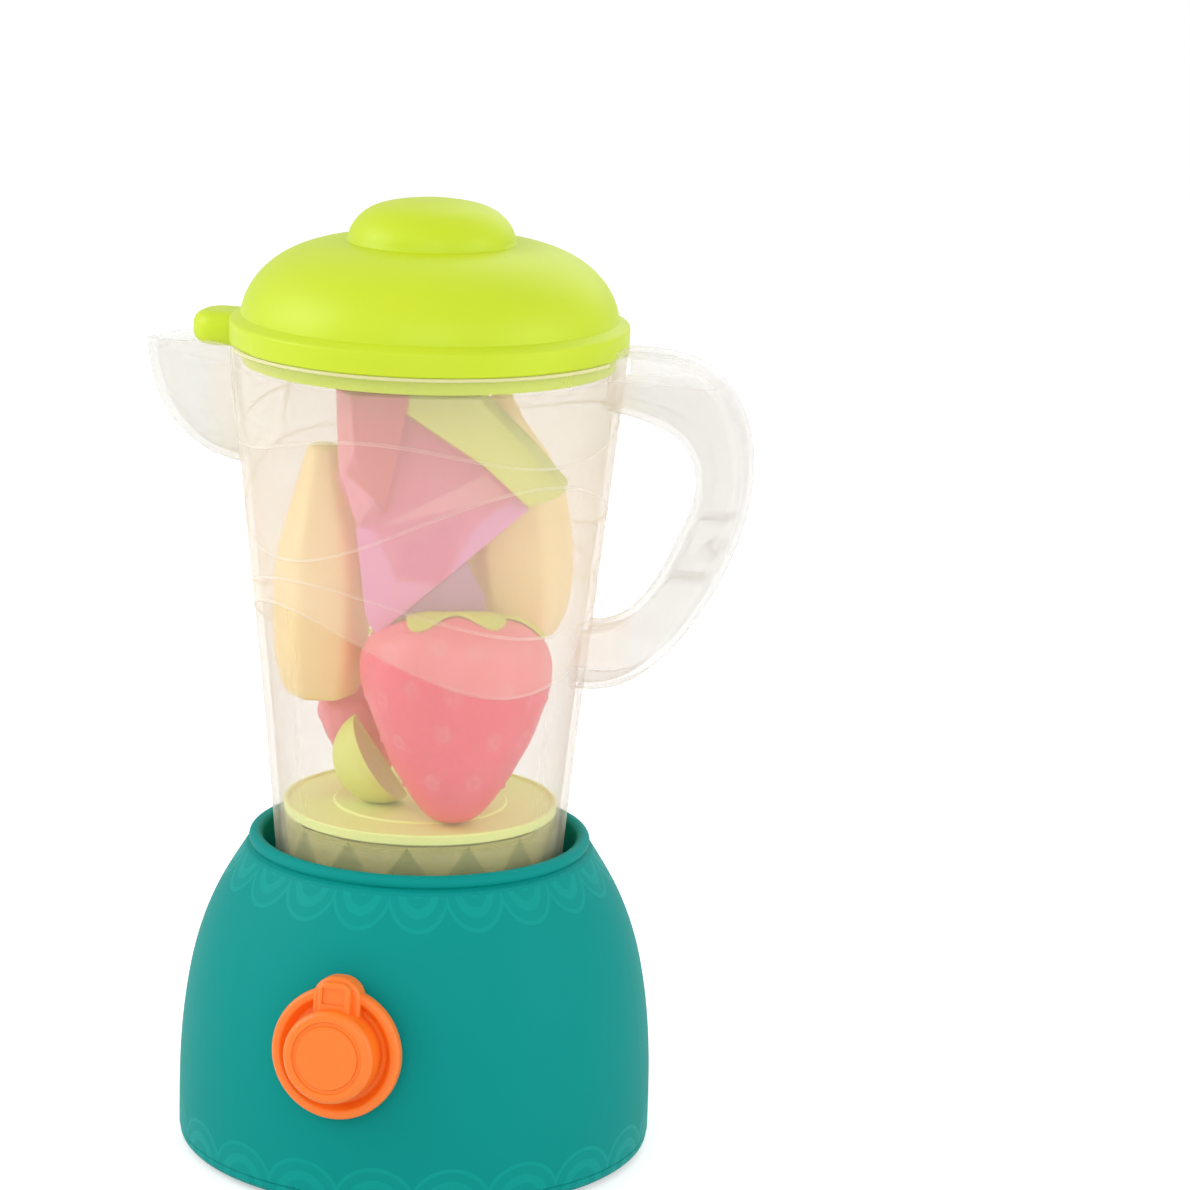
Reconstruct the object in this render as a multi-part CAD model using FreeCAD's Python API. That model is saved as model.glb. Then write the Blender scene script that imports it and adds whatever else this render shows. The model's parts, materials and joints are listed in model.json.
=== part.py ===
import FreeCAD, Part
import math
import os

# Press-to-spin toy blender.  Millimetres, +Z up.  The origin lies on the table
# under the middle of the base.  The dial faces -Y, the handle points to +X and
# the pouring spout to -X.
#
# Pressing the lid pushes the jug and its carriage down a guide well in the base.
# A helical spindle, fixed in the base, turns the drive hub as it sinks, and the
# hub's dogs turn the table that the toy fruit lies on.

Vec = FreeCAD.Vector
UP = Vec(0, 0, 1)

# ---- driving dimensions ----------------------------------------------------

WALL = 2.4                      # base shell wall
BASE_R = 69.7                   # widest radius of the base
FOOT_H = 1.5                    # rubber feet stand out under the plate
SEAM_Z = 4.9                    # joint between bottom plate and shell
WELL_R = 46.0                   # guide well inside the rim
WELL_WALL = 2.2
WELL_BOTTOM = 52.0
RIM_Z = 92.5                    # centre height of the rolled rim
RIM_R = 2.0                     # rolled rim section radius
TAB_TOP = 74.0                  # carriage tabs stop here, under the slot ends

STROKE = 14.0                   # lid travel when pressed
LEAD = 30.0                     # spindle lead, mm for one full turn

JUG_FOOT = 76.0                 # jug's foot ring stands here
JUG_RIM = 239.0
JUG_WALL = 2.2
JUG_FLOOR = 84.0
FLOOR_T = 2.2
COLLAR_TOP = 91.0               # collar round the hole in the jug's floor
COLLAR_R = 28.0
TABLE_Z = 103.2                 # top of the turntable
TABLE_R = 40.0

DOGS = 10                       # teeth of the coupling under the turntable
DOG_IN = 22.0
DOG_TOP = 91.3

SPOUT_TIP = 86.4                # reach of the spout along -X
SPOUT_RIM_TIP = 234.6
SPOUT_ROOT = 50.0
SPOUT_DEPTH = 39.0
SPOUT_POWER = 2.3               # fullness of the spout's belly curve
SPOUT_WALL = 1.9

HANDLE_HALF = 8.6               # half of the handle's width along Y
HANDLE_WALL = 2.2

DIAL_Z = 48.0                   # centre of the dial
DIAL_Y = -67.5
DIAL_TILT = 6.5                 # degrees, follows the wall of the base
DIAL_R = 19.0
CAP_R = 13.25
CAP_TOP = 13.0                  # above the base wall
CAP_GROOVE = (8.9, 10.4, 0.5)   # inner and outer radius and depth of the cap's ring groove
CLICKS = 12

LID_R = 57.3
LID_TOP = 280.4
LID_WALL = 2.0

FRUIT_TURN = 18.0               # the pile of fruit is laid out along a turned grid

RUN_FIT = 0.08                  # radial play of a shaft in its bore
SEAT_GAP = 0.05                 # axial play of turning pieces


# ---- helpers ---------------------------------------------------------------

def flat(r, z):
    return Vec(r, 0, z)


def rounded_edges(corners, close=True):
    """Lines through (x, z, radius) corners in the XZ plane, with tangent arcs."""
    count = len(corners)
    entries = []
    for i, (x, z, radius) in enumerate(corners):
        corner = flat(x, z)
        inner = close or 0 < i < count - 1
        if radius == 0 or not inner:
            entries.append((corner, None, corner))
            continue
        back = flat(*corners[i - 1][:2]) - corner
        ahead = flat(*corners[(i + 1) % count][:2]) - corner
        back.normalize()
        ahead.normalize()
        half = back.getAngle(ahead) / 2
        reach = radius / math.tan(half)
        middle = back + ahead
        middle.normalize()
        crown = corner + middle * (radius / math.sin(half) - radius)
        entries.append((corner + back * reach, crown, corner + ahead * reach))
    edges = []
    for i, (start, crown, end) in enumerate(entries):
        if crown is not None:
            edges.append(Part.Arc(start, crown, end).toShape())
        if i == count - 1 and not close:
            break
        following = entries[(i + 1) % count][0]
        if (following - end).Length > 1e-6:
            edges.append(Part.LineSegment(end, following).toShape())
    return edges


def revolve_edges(edges):
    wire = Part.Wire(Part.__sortEdges__(edges))
    return Part.Face(wire).revolve(Vec(0, 0, 0), UP, 360)


def turned(corners):
    """Solid of revolution about Z from rounded (r, z, radius) corners."""
    return revolve_edges(rounded_edges(corners))


def disc(radius, z0, z1, x=0.0, y=0.0):
    return Part.makeCylinder(radius, z1 - z0, Vec(x, y, z0), UP)


def ring(inner, outer, z0, z1, x=0.0, y=0.0):
    return disc(outer, z0, z1, x, y).cut(disc(inner, z0 - 1, z1 + 1, x, y))


def block(x0, x1, y0, y1, z0, z1):
    return Part.makeBox(x1 - x0, y1 - y0, z1 - z0, Vec(x0, y0, z0))


def spin(shape, degrees):
    copy = shape.copy()
    copy.rotate(Vec(0, 0, 0), UP, degrees)
    return copy


def around(shape, count, first=0.0):
    """Copies of a shape, evenly spaced about Z."""
    return [spin(shape, first + 360.0 * i / count) for i in range(count)]


def fused(shape, others):
    return shape.multiFuse(others).removeSplitter()


def polar(radius, degrees):
    angle = math.radians(degrees)
    return radius * math.cos(angle), radius * math.sin(angle)


def spline(points, start=None, end=None):
    curve = Part.BSplineCurve()
    if start is None:
        curve.interpolate(points)
    else:
        curve.interpolate(Points=points, InitialTangent=start, FinalTangent=end)
    return curve


def offset_points(points, distance):
    """Points moved sideways, to the left of their direction of travel in XZ."""
    moved = []
    for i, point in enumerate(points):
        before = points[max(i - 1, 0)]
        after = points[min(i + 1, len(points) - 1)]
        along = after - before
        along.normalize()
        moved.append(point + Vec(-along.z, 0, along.x) * distance)
    return moved


def gusset(r0, r1, foot_z, top_z, thick):
    """Upright triangular web along +X: full height at r0, none at r1."""
    corners = [flat(r0, foot_z), flat(r1, foot_z), flat(r0, top_z), flat(r0, foot_z)]
    web = Part.Face(Part.makePolygon(corners)).extrude(Vec(0, thick, 0))
    web.translate(Vec(0, -thick / 2, 0))
    return web


def wedge_ring(inner, outer, z0, z1, degrees):
    """Sector of a ring, centred on +X, with the given opening angle."""
    sector = Part.makeCylinder(outer, z1 - z0, Vec(0, 0, z0), UP, degrees)
    sector = sector.cut(disc(inner, z0 - 1, z1 + 1))
    return spin(sector, -degrees / 2)


def twisted_bar(width, thick, corner, z0, z1):
    """Rounded flat bar along Z whose section turns once in every LEAD."""
    half_w, half_t = width / 2, thick / 2
    corners = [(-half_w, -half_t, corner), (half_w, -half_t, corner),
               (half_w, half_t, corner), (-half_w, half_t, corner)]
    section = Part.Wire(Part.__sortEdges__(rounded_edges(corners)))
    section.rotate(Vec(0, 0, 0), Vec(1, 0, 0), -90)
    section.rotate(Vec(0, 0, 0), UP, 360.0 * z0 / LEAD)
    section.translate(Vec(0, 0, z0))
    guide = Part.makeHelix(LEAD, z1 - z0, width)
    guide.rotate(Vec(0, 0, 0), UP, 360.0 * z0 / LEAD)
    guide.translate(Vec(0, 0, z0))
    spine = Part.Wire(Part.makeLine(Vec(0, 0, z0), Vec(0, 0, z1)))
    sweep = Part.BRepOffsetAPI.MakePipeShell(spine)
    sweep.setAuxiliarySpine(Part.Wire(guide), True, 0)
    sweep.add(section)
    sweep.build()
    sweep.makeSolid()
    return sweep.shape()


def self_tapping_screw(length, shank_r=1.4, head_r=3.0, head_t=1.5):
    """Pan-head screw along +Z; the head hangs under z = 0, cross recess below."""
    head = turned([(0, -head_t, 0), (head_r, -head_t, 0.6), (head_r, 0, 0), (0, 0, 0)])
    shank = disc(shank_r, 0, length - 1.5)
    point = Part.makeCone(shank_r, 0.3, 1.5, Vec(0, 0, length - 1.5), UP)
    slot = block(-1.6, 1.6, -0.35, 0.35, -head_t - 1, -head_t + 0.8)
    screw = fused(head, [shank, point])
    return screw.cut(slot).cut(spin(slot, 90))


# ---- base ------------------------------------------------------------------

SHELL_LINE = [flat(BASE_R, 5.3), flat(69.6, 24), flat(68.3, 42), flat(64.6, 61.5),
              flat(58.3, 77.5), flat(50.75, 90.15)]
BOSS_R = 56.0                   # pitch radius of the plate screws
SCREW_HOLE = 1.45
BEAD_END = 50.0                 # degrees below the equator where the rim's bead ends


def base_envelope():
    """Solid up to the middle of the skin, used to trim what grows out of it."""
    line = offset_points(SHELL_LINE, WALL / 2)
    line[0] = flat(BASE_R - WALL / 2, SEAM_Z)
    bottom, top = line[0], line[-1]
    edges = [spline(line).toShape(), Part.makeLine(top, flat(0, top.z)),
             Part.makeLine(flat(0, top.z), flat(0, bottom.z)),
             Part.makeLine(flat(0, bottom.z), bottom)]
    return revolve_edges(edges)


def shell_body():
    """Outer skin, rolled rim and guide well, turned as one moulding."""
    outer = spline(SHELL_LINE, Vec(0, 0, 1), Vec(-0.62, 0, 1)).toShape()
    inner_points = offset_points(SHELL_LINE, WALL)
    inner_points[0] = flat(BASE_R - WALL, SEAM_Z)
    inner = spline(inner_points, Vec(0, 0, 1), Vec(-0.62, 0, 1)).toShape()
    bead_r = WELL_R + RIM_R
    low = math.radians(-BEAD_END)
    bead_low = flat(bead_r + RIM_R * math.cos(low), RIM_Z + RIM_R * math.sin(low))
    bead = Part.Arc(flat(WELL_R, RIM_Z), flat(bead_r, RIM_Z + RIM_R), bead_low).toShape()
    well_outer = WELL_R + WELL_WALL
    inner_top = inner_points[-1]
    outer_start = flat(BASE_R - 0.4, SEAM_Z)
    edges = [
        bead,
        Part.makeLine(bead_low, SHELL_LINE[-1]),
        outer,
        Part.makeLine(SHELL_LINE[0], outer_start),
        Part.makeLine(outer_start, inner_points[0]),
        inner,
        Part.makeLine(inner_top, flat(well_outer, inner_top.z - 1.5)),
        Part.makeLine(flat(well_outer, inner_top.z - 1.5), flat(well_outer, WELL_BOTTOM)),
        Part.makeLine(flat(well_outer, WELL_BOTTOM), flat(WELL_R, WELL_BOTTOM)),
        Part.makeLine(flat(WELL_R, WELL_BOTTOM), flat(WELL_R, RIM_Z)),
    ]
    return revolve_edges(edges)


def dial_place(shape):
    """From the dial's own frame (axis +Z, top of the dial +Y) to the base wall."""
    placed = shape.copy()
    placed.rotate(Vec(0, 0, 0), Vec(1, 0, 0), 90 - DIAL_TILT)
    placed.translate(Vec(0, DIAL_Y, DIAL_Z))
    return placed


PAD_TOP = 1.4                   # flat pad behind the dial, above the base wall
PAD_BACK = -5.0
SHAFT_R = 4.0
CLIP_POST = (-15.0, -12.2)      # slotted post that grips the click spring


def base_shell():
    envelope = base_envelope()
    body = shell_body()
    x, y = polar(BOSS_R, 45)
    boss = disc(4.5, SEAM_Z, 72, x, y)
    web = spin(block(BOSS_R + 3, BASE_R, -0.8, 0.8, 8.0, 66), 45)
    columns = [part.common(envelope) for part in around(boss, 4) + around(web, 4)]
    pad = dial_place(disc(17.0, PAD_BACK, PAD_TOP))
    post = dial_place(disc(3.4, -9.0, -1.0, *CLIP_POST)).common(envelope)
    body = fused(body, columns + [pad, post])
    slot = block(WELL_R - 2, WELL_R + WELL_WALL + 1, -4.2, 4.2, WELL_BOTTOM - 1, TAB_TOP + 0.1)
    holes = around(slot, 3, 90)
    holes += around(disc(SCREW_HOLE, SEAM_Z - 1, 22, x, y), 4)
    holes.append(dial_place(disc(SHAFT_R + RUN_FIT, PAD_BACK - 6, PAD_TOP + 1)))
    grip = block(CLIP_POST[0] - 5, CLIP_POST[0] + 5, -0.35, 0.35, -9.1, -5.7)
    grip.translate(Vec(0, CLIP_POST[1], 0))
    holes.append(dial_place(grip))
    return body.cut(holes)


TOWER_TOP = 41.5
SOCKET_R = 5.05
SPRING_R = 18.0
SPRING_WIRE = 0.8
SPRING_TURNS = 6.0


def base_plate():
    plate = turned([(0, FOOT_H, 0), (BASE_R - 0.3, FOOT_H, 2.2), (BASE_R - 0.3, SEAM_Z - 0.4, 0),
                    (BASE_R - 0.7, SEAM_Z, 0), (0, SEAM_Z, 0)])
    lip = ring(64.9, 66.8, SEAM_Z, SEAM_Z + 2.6)
    tower = Part.makeCone(10.5, 7.6, TOWER_TOP - SEAM_Z, Vec(0, 0, SEAM_Z), UP)
    webs = around(gusset(7.0, 14.6, SEAM_Z, 32.0, 1.8), 4)
    seats = [ring(15.4, 16.6, SEAM_Z, SEAM_Z + 2.6), ring(19.4, 20.6, SEAM_Z, SEAM_Z + 2.6)]
    ribs = around(block(20.0, 65.5, -0.9, 0.9, SEAM_Z, SEAM_Z + 2.6), 8, 22.5)
    body = fused(plate, [lip, tower] + webs + seats + ribs)
    x, y = polar(BOSS_R, 45)
    cuts = around(disc(3.3, 0, FOOT_H + 1.7, x, y), 4)
    cuts += around(disc(1.7, 0, SEAM_Z + 1, x, y), 4)
    cuts += around(disc(6.1, 0, FOOT_H + 1.1, *polar(57.0, 0)), 4)
    cuts += [disc(4.4, 0, 33.0), disc(1.7, 32.0, 38.0), disc(SOCKET_R, 36.5, TOWER_TOP + 1)]
    return body.cut(cuts)


def rubber_feet():
    foot = turned([(0, 0, 0), (6.0, 0, 0.8), (6.0, FOOT_H + 1.1, 0), (0, FOOT_H + 1.1, 0)])
    foot.translate(Vec(57.0, 0, 0))
    return Part.makeCompound(around(foot, 4))


def plate_screws():
    screw = self_tapping_screw(14.0)
    screw.translate(Vec(*polar(BOSS_R, 45), FOOT_H + 1.7))
    return Part.makeCompound(around(screw, 4))


def twist_spindle():
    foot = disc(SOCKET_R - 0.05, 36.5, TOWER_TOP)
    bar = twisted_bar(9.0, 4.4, 1.2, TOWER_TOP - 0.5, 74.0)
    return foot.fuse(bar).cut(disc(SCREW_HOLE, 35.0, 40.6))


def spindle_screw():
    screw = self_tapping_screw(7.2)
    screw.translate(Vec(0, 0, 33.0))
    return screw


CARRIAGE_UNDER = 71.0


def return_spring():
    """Compression spring of six-sided wire section."""
    low = SEAM_Z + SPRING_WIRE
    high = CARRIAGE_UNDER - SPRING_WIRE
    helix = Part.makeHelix((high - low) / SPRING_TURNS, high - low, SPRING_R)
    corners = []
    for i in range(6):
        across, up = polar(SPRING_WIRE, 60.0 * i + 30)
        corners.append(flat(SPRING_R + across, up))
    section = Part.makePolygon(corners + corners[:1])
    coil = Part.Wire(helix).makePipeShell([section], True, True)
    coil.translate(Vec(0, 0, low))
    return coil


# ---- carriage and drive ----------------------------------------------------

FLOOR_TOP = 74.0
KEY_W = 6.0


def press_carriage():
    """Cup that takes the jug's foot and slides in the well."""
    rim_r = WELL_R - 0.4
    body = turned([
        (9.0 + RUN_FIT, CARRIAGE_UNDER, 0), (43.8, CARRIAGE_UNDER, 0), (43.8, 62.0, 0),
        (rim_r, 62.0, 0), (rim_r, 84.0, 0.6), (42.5, 84.0, 0.6), (41.7, JUG_FOOT, 0),
        (36.0, JUG_FOOT, 0), (36.0, FLOOR_TOP, 0), (9.0 + RUN_FIT, FLOOR_TOP, 0)])
    seat = ring(19.4, 20.6, CARRIAGE_UNDER - 2, CARRIAGE_UNDER)
    tabs = around(block(rim_r - 1, WELL_R + 1.8, -3.8, 3.8, 70.0, TAB_TOP), 3, 90)
    keys = around(block(37.2, 42.0, -KEY_W / 2, KEY_W / 2, JUG_FOOT - 0.5, JUG_FOOT + 3), 3, 30)
    body = fused(body, [seat] + tabs + keys)
    return body.cut(around(disc(3.0, 70, 75, 30, 0), 6, 30))


def bearing_washer():
    return ring(9.3, 16.0, FLOOR_TOP, FLOOR_TOP + 0.75)


HUB_FOOT = TOWER_TOP + STROKE + 0.5     # lands on the tower's top when the lid is pressed
HUB_FLANGE = 74.8
HUB_TOP = 79.0
STEM_R = 9.0
WHITE_DOG = 16.2                # degrees of a dog on the drive hub
LIME_DOG = 18.4                 # degrees of a dog under the turntable


def drive_hub():
    body = turned([(6.6, HUB_FOOT, 0), (STEM_R, HUB_FOOT, 0.5), (STEM_R, HUB_FLANGE, 0),
                   (26.8, HUB_FLANGE, 0.5), (26.8, HUB_TOP, 0.5), (6.6, HUB_TOP, 0)])
    nut = disc(7.0, HUB_FOOT + 1, HUB_FOOT + 11)
    nut = nut.cut(twisted_bar(9.2, 4.6, 1.3, HUB_FOOT - 1, HUB_FOOT + 13))
    dogs = around(wedge_ring(DOG_IN + 0.4, 26.5, HUB_TOP - 1, DOG_TOP, WHITE_DOG), DOGS)
    body = fused(body, [nut] + dogs)
    groove = ring(8.2, 12.0, 69.5, 70.9)
    windows = around(disc(2.6, 70, 80, 15.5, 0), 6)
    return body.cut([groove] + windows)


def open_clip(inner, outer, z0, z1, gap):
    """Flat spring clip: a ring with an opening on its +X side."""
    return ring(inner, outer, z0, z1).cut(wedge_ring(0.1, outer + 1, z0 - 1, z1 + 1, gap))


def hub_clip():
    return open_clip(8.25, 12.4, 69.6, 70.8, 70)


# ---- turntable -------------------------------------------------------------

def turntable():
    """Flat dish with a raised edge, a ribbed underside and coupling dogs."""
    plate_z = TABLE_Z - 1.6
    shoulder = COLLAR_TOP + SEAT_GAP
    sleeve_r = COLLAR_R - RUN_FIT
    body = turned([
        (0, TABLE_Z + 0.6, 0), (25.0, TABLE_Z + 0.6, 0.5), (25.6, TABLE_Z, 0),
        (TABLE_R - 1.8, TABLE_Z, 0), (TABLE_R - 1.2, TABLE_Z + 0.7, 0.3),
        (TABLE_R, TABLE_Z + 0.7, 0.5), (TABLE_R, plate_z - 0.8, 0.5), (TABLE_R - 1.2, plate_z - 0.8, 0),
        (TABLE_R - 1.6, plate_z, 0), (30.3, plate_z, 0), (30.3, shoulder, 0),
        (sleeve_r, shoulder, 0), (sleeve_r, 80.0, 0.4), (DOG_IN, 80.0, 0), (DOG_IN, plate_z, 0),
        (0, plate_z, 0)])
    webs = around(gusset(29.8, TABLE_R - 1.4, plate_z + 0.5, COLLAR_TOP + 0.7, 1.6), DOGS, 18)
    body = fused(body, webs)
    gap = 360.0 / DOGS - LIME_DOG
    notch = wedge_ring(DOG_IN - 1, COLLAR_R + 1, 79.0, DOG_TOP + 0.5, gap)
    groove = ring(27.0, 30.0, 82.0, 83.4)
    return body.cut(around(notch, DOGS) + [groove])


def turntable_clip():
    return open_clip(27.05, 30.6, 82.1, 83.3, 40)


# ---- jug -------------------------------------------------------------------

JUG_LINE = [flat(41.2, JUG_FOOT), flat(44.9, 120), flat(50.0, 170), flat(57.0, JUG_RIM)]


def jug_cone(inset, z_low, z_high):
    """Solid cone of the jug's outside, moved inwards by inset."""
    wall = spline([point - Vec(inset, 0, 0) for point in JUG_LINE]).toShape()
    low, high = JUG_LINE[0], JUG_LINE[-1]
    edges = [wall, Part.makeLine(high - Vec(inset, 0, 0), flat(0, high.z)),
             Part.makeLine(flat(0, high.z), flat(0, low.z)),
             Part.makeLine(flat(0, low.z), low - Vec(inset, 0, 0))]
    return revolve_edges(edges).common(block(-90, 90, -90, 90, z_low, z_high))


def spout_half_width(reach):
    """Half width of the spout's rim at a distance behind its tip."""
    return math.sqrt(12.0 * reach + 0.334 * reach * reach)


def spout_solid(inset):
    """Scoop made of half-ellipse sections along X; inset makes the inside."""
    top = JUG_RIM + 6.0
    tip = SPOUT_TIP - 1.5 * inset
    length = tip - SPOUT_ROOT
    sections = []
    for share in (0.0, 0.2, 0.4, 0.58, 0.74, 0.87, 0.955, 0.995):
        reach_x = SPOUT_ROOT + share * length
        drop = (1 - share ** SPOUT_POWER) ** (1 / SPOUT_POWER)
        depth = 6.0 + (SPOUT_DEPTH - inset) * drop
        half = spout_half_width(tip - reach_x)
        left = Vec(-reach_x, -half, top)
        right = Vec(-reach_x, half, top)
        if depth >= half:
            oval = Part.Ellipse(Vec(-reach_x, 0, top - depth), Vec(-reach_x, half, top),
                                Vec(-reach_x, 0, top))
        else:
            oval = Part.Ellipse(Vec(-reach_x, half, top), Vec(-reach_x, 0, top - depth),
                                Vec(-reach_x, 0, top))
        arcs = oval.toShape().common(block(-100, 0, -100, 100, 100, top)).Edges
        sections.append((arcs, left, right))
    wires = []
    for arcs, left, right in sections:
        lid = Part.makeLine(right, left)
        wires.append(Part.Wire(Part.__sortEdges__(arcs + [lid])))
    return Part.makeLoft(wires, True, False)


HANDLE_OUTER = [flat(50, 240.8), flat(68, 242.0), flat(81.5, 238.2), flat(91.8, 226.5),
                flat(95.5, 209.0), flat(91.2, 186.3), flat(80.5, 164.5), flat(66.0, 148.2),
                flat(42, 144.2)]
HANDLE_INNER = [flat(50, 225.2), flat(66, 222.6), flat(77.6, 216.4), flat(81.4, 206.5),
                flat(77.5, 191.9), flat(68.5, 174.4), flat(58.5, 164.4), flat(42, 162.6)]


def handle_prism(inset, y0, y1):
    """Handle's side outline, moved inwards by inset, between two Y planes."""
    outer = offset_points(HANDLE_OUTER, -inset)
    inner = offset_points(HANDLE_INNER, inset)
    edges = [spline(outer).toShape(), Part.makeLine(outer[-1], inner[-1]),
             spline(inner).toShape(), Part.makeLine(inner[0], outer[0])]
    face = Part.Face(Part.Wire(Part.__sortEdges__(edges)))
    prism = face.extrude(Vec(0, y1 - y0, 0))
    prism.translate(Vec(0, y0, 0))
    return prism


def handle_body():
    body = handle_prism(0, -HANDLE_HALF, HANDLE_HALF)
    long_edges = []
    for edge in body.Edges:
        middle = edge.valueAt((edge.FirstParameter + edge.LastParameter) / 2)
        if abs(abs(middle.y) - HANDLE_HALF) < 1e-3 and edge.Length > 40:
            long_edges.append(edge)
    return body.makeFillet(3.4, long_edges)


def handle_webs():
    """Two cross webs that stiffen the handle and carry the cover's pin."""
    channel = handle_prism(HANDLE_WALL - 0.3, -HANDLE_HALF + 1, HANDLE_HALF - 2.2)
    webs = [block(70, 100, -9, 9, 194.2, 195.8), block(70, 100, -9, 9, 176.4, 178.0)]
    boss = Part.makeCylinder(3.0, 14.0, Vec(86.0, -8.0, 186.0), Vec(0, 1, 0))
    bore = Part.makeCylinder(1.65, 9.0, Vec(86.0, -1.0, 186.0), Vec(0, 1, 0))
    return [shape.common(channel).cut(bore) for shape in webs + [boss]]


def jug_body():
    outer = jug_cone(0, JUG_FOOT, JUG_RIM)
    grip = handle_body()
    scoop = spout_solid(0)
    body = fused(outer, [grip, scoop])
    floor_top = JUG_FLOOR + FLOOR_T
    inside = jug_cone(JUG_WALL, floor_top, JUG_RIM)
    under = jug_cone(JUG_WALL, JUG_FOOT, JUG_FLOOR)
    over_rim = block(-120, 0, -60, 60, JUG_RIM, JUG_RIM + 20).fuse(disc(57.9, JUG_RIM, JUG_RIM + 20))
    tilt = math.degrees(math.atan2(JUG_RIM - SPOUT_RIM_TIP, SPOUT_TIP - 57.0))
    spout_cut = block(-60, 0, -60, 60, 0, 20)
    spout_cut.rotate(Vec(0, 0, 0), Vec(0, 1, 0), -tilt)
    spout_cut.translate(Vec(-57.0, 0, JUG_RIM))
    hollow = handle_prism(HANDLE_WALL, -HANDLE_HALF + HANDLE_WALL, HANDLE_HALF + 1).cut(outer)
    body = body.cut([inside, under, spout_solid(SPOUT_WALL), over_rim, spout_cut, hollow])
    collar = ring(COLLAR_R, COLLAR_R + 2.3, JUG_FLOOR, COLLAR_TOP)
    ribs = around(gusset(COLLAR_R + 2, 39.4, floor_top - 0.5, COLLAR_TOP - 0.6, 1.4), 12, 15)
    body = fused(body, [collar] + ribs + handle_webs())
    notches = around(block(35, 45, -KEY_W / 2 - 0.4, KEY_W / 2 + 0.4, JUG_FOOT - 1, JUG_FOOT + 3.4), 3, 30)
    return body.cut([disc(COLLAR_R, JUG_FOOT - 1, COLLAR_TOP + 1)] + notches)


def handle_cover():
    """Back of the handle, pressed in flush, with a pin for the boss."""
    plate = handle_prism(HANDLE_WALL + 0.1, HANDLE_HALF - 2.2, HANDLE_HALF - 0.2)
    plate = plate.cut([jug_cone(-0.2, JUG_FOOT, JUG_RIM), disc(58.3, JUG_RIM - 6, JUG_RIM + 10)])
    pin = Part.makeCylinder(1.6, 6.0, Vec(86.0, HANDLE_HALF - 7.2, 186.0), Vec(0, 1, 0))
    return plate.fuse(pin)


# ---- lid -------------------------------------------------------------------

SKIRT_R = 53.8
SKIRT_BOTTOM = 233.8
EAR_TIP = 72.3


def lid_shell():
    dome = [flat(54.2, 247.3), flat(51.2, 255.5), flat(46.0, 261.3), flat(37.0, 266.2), flat(24.4, 268.6)]
    knob = [flat(24.0, 269.2), flat(22.3, 273.6), flat(16.5, 278.2), flat(8.0, 280.1), flat(0, LID_TOP)]
    dome_in = offset_points(dome, LID_WALL)
    knob_in = offset_points(knob, LID_WALL)
    knob_in[-1] = flat(0, LID_TOP - LID_WALL)
    inner_r = SKIRT_R - 1.8
    dome_in[0] = flat(inner_r, 247.0)
    corner = [(SKIRT_R, JUG_RIM, 0), (LID_R, JUG_RIM, 0.7), (LID_R, 245.6, 1.0), (dome[0].x, dome[0].z, 0)]
    edges = rounded_edges(corner, close=False)
    edges += [
        spline(dome).toShape(),
        Part.makeLine(dome[-1], knob[0]),
        spline(knob, Vec(-0.1, 0, 1), Vec(-1, 0, 0)).toShape(),
        Part.makeLine(knob[-1], knob_in[-1]),
        spline(knob_in, Vec(-0.1, 0, 1), Vec(-1, 0, 0)).toShape(),
        Part.makeLine(knob_in[0], dome_in[-1]),
        spline(dome_in).toShape(),
        Part.makeLine(dome_in[0], flat(inner_r, SKIRT_BOTTOM)),
        Part.makeLine(flat(inner_r, SKIRT_BOTTOM), flat(SKIRT_R, SKIRT_BOTTOM)),
        Part.makeLine(flat(SKIRT_R, SKIRT_BOTTOM), flat(SKIRT_R, JUG_RIM)),
    ]
    body = revolve_edges(edges)
    ear = block(-EAR_TIP, -54.5, -8, 8, 237.2, 243.6)
    tip = [e for e in ear.Edges if abs(e.BoundBox.XMax + EAR_TIP) < 1e-6 and e.BoundBox.ZLength > 1]
    ear = ear.makeFillet(6.5, tip)
    rims = [e for e in ear.Edges if e.BoundBox.ZLength < 1e-6 and e.BoundBox.XMin < -55.5]
    ear = ear.makeFillet(2.4, rims)
    return fused(body, [ear])


# ---- dial ------------------------------------------------------------------

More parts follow.
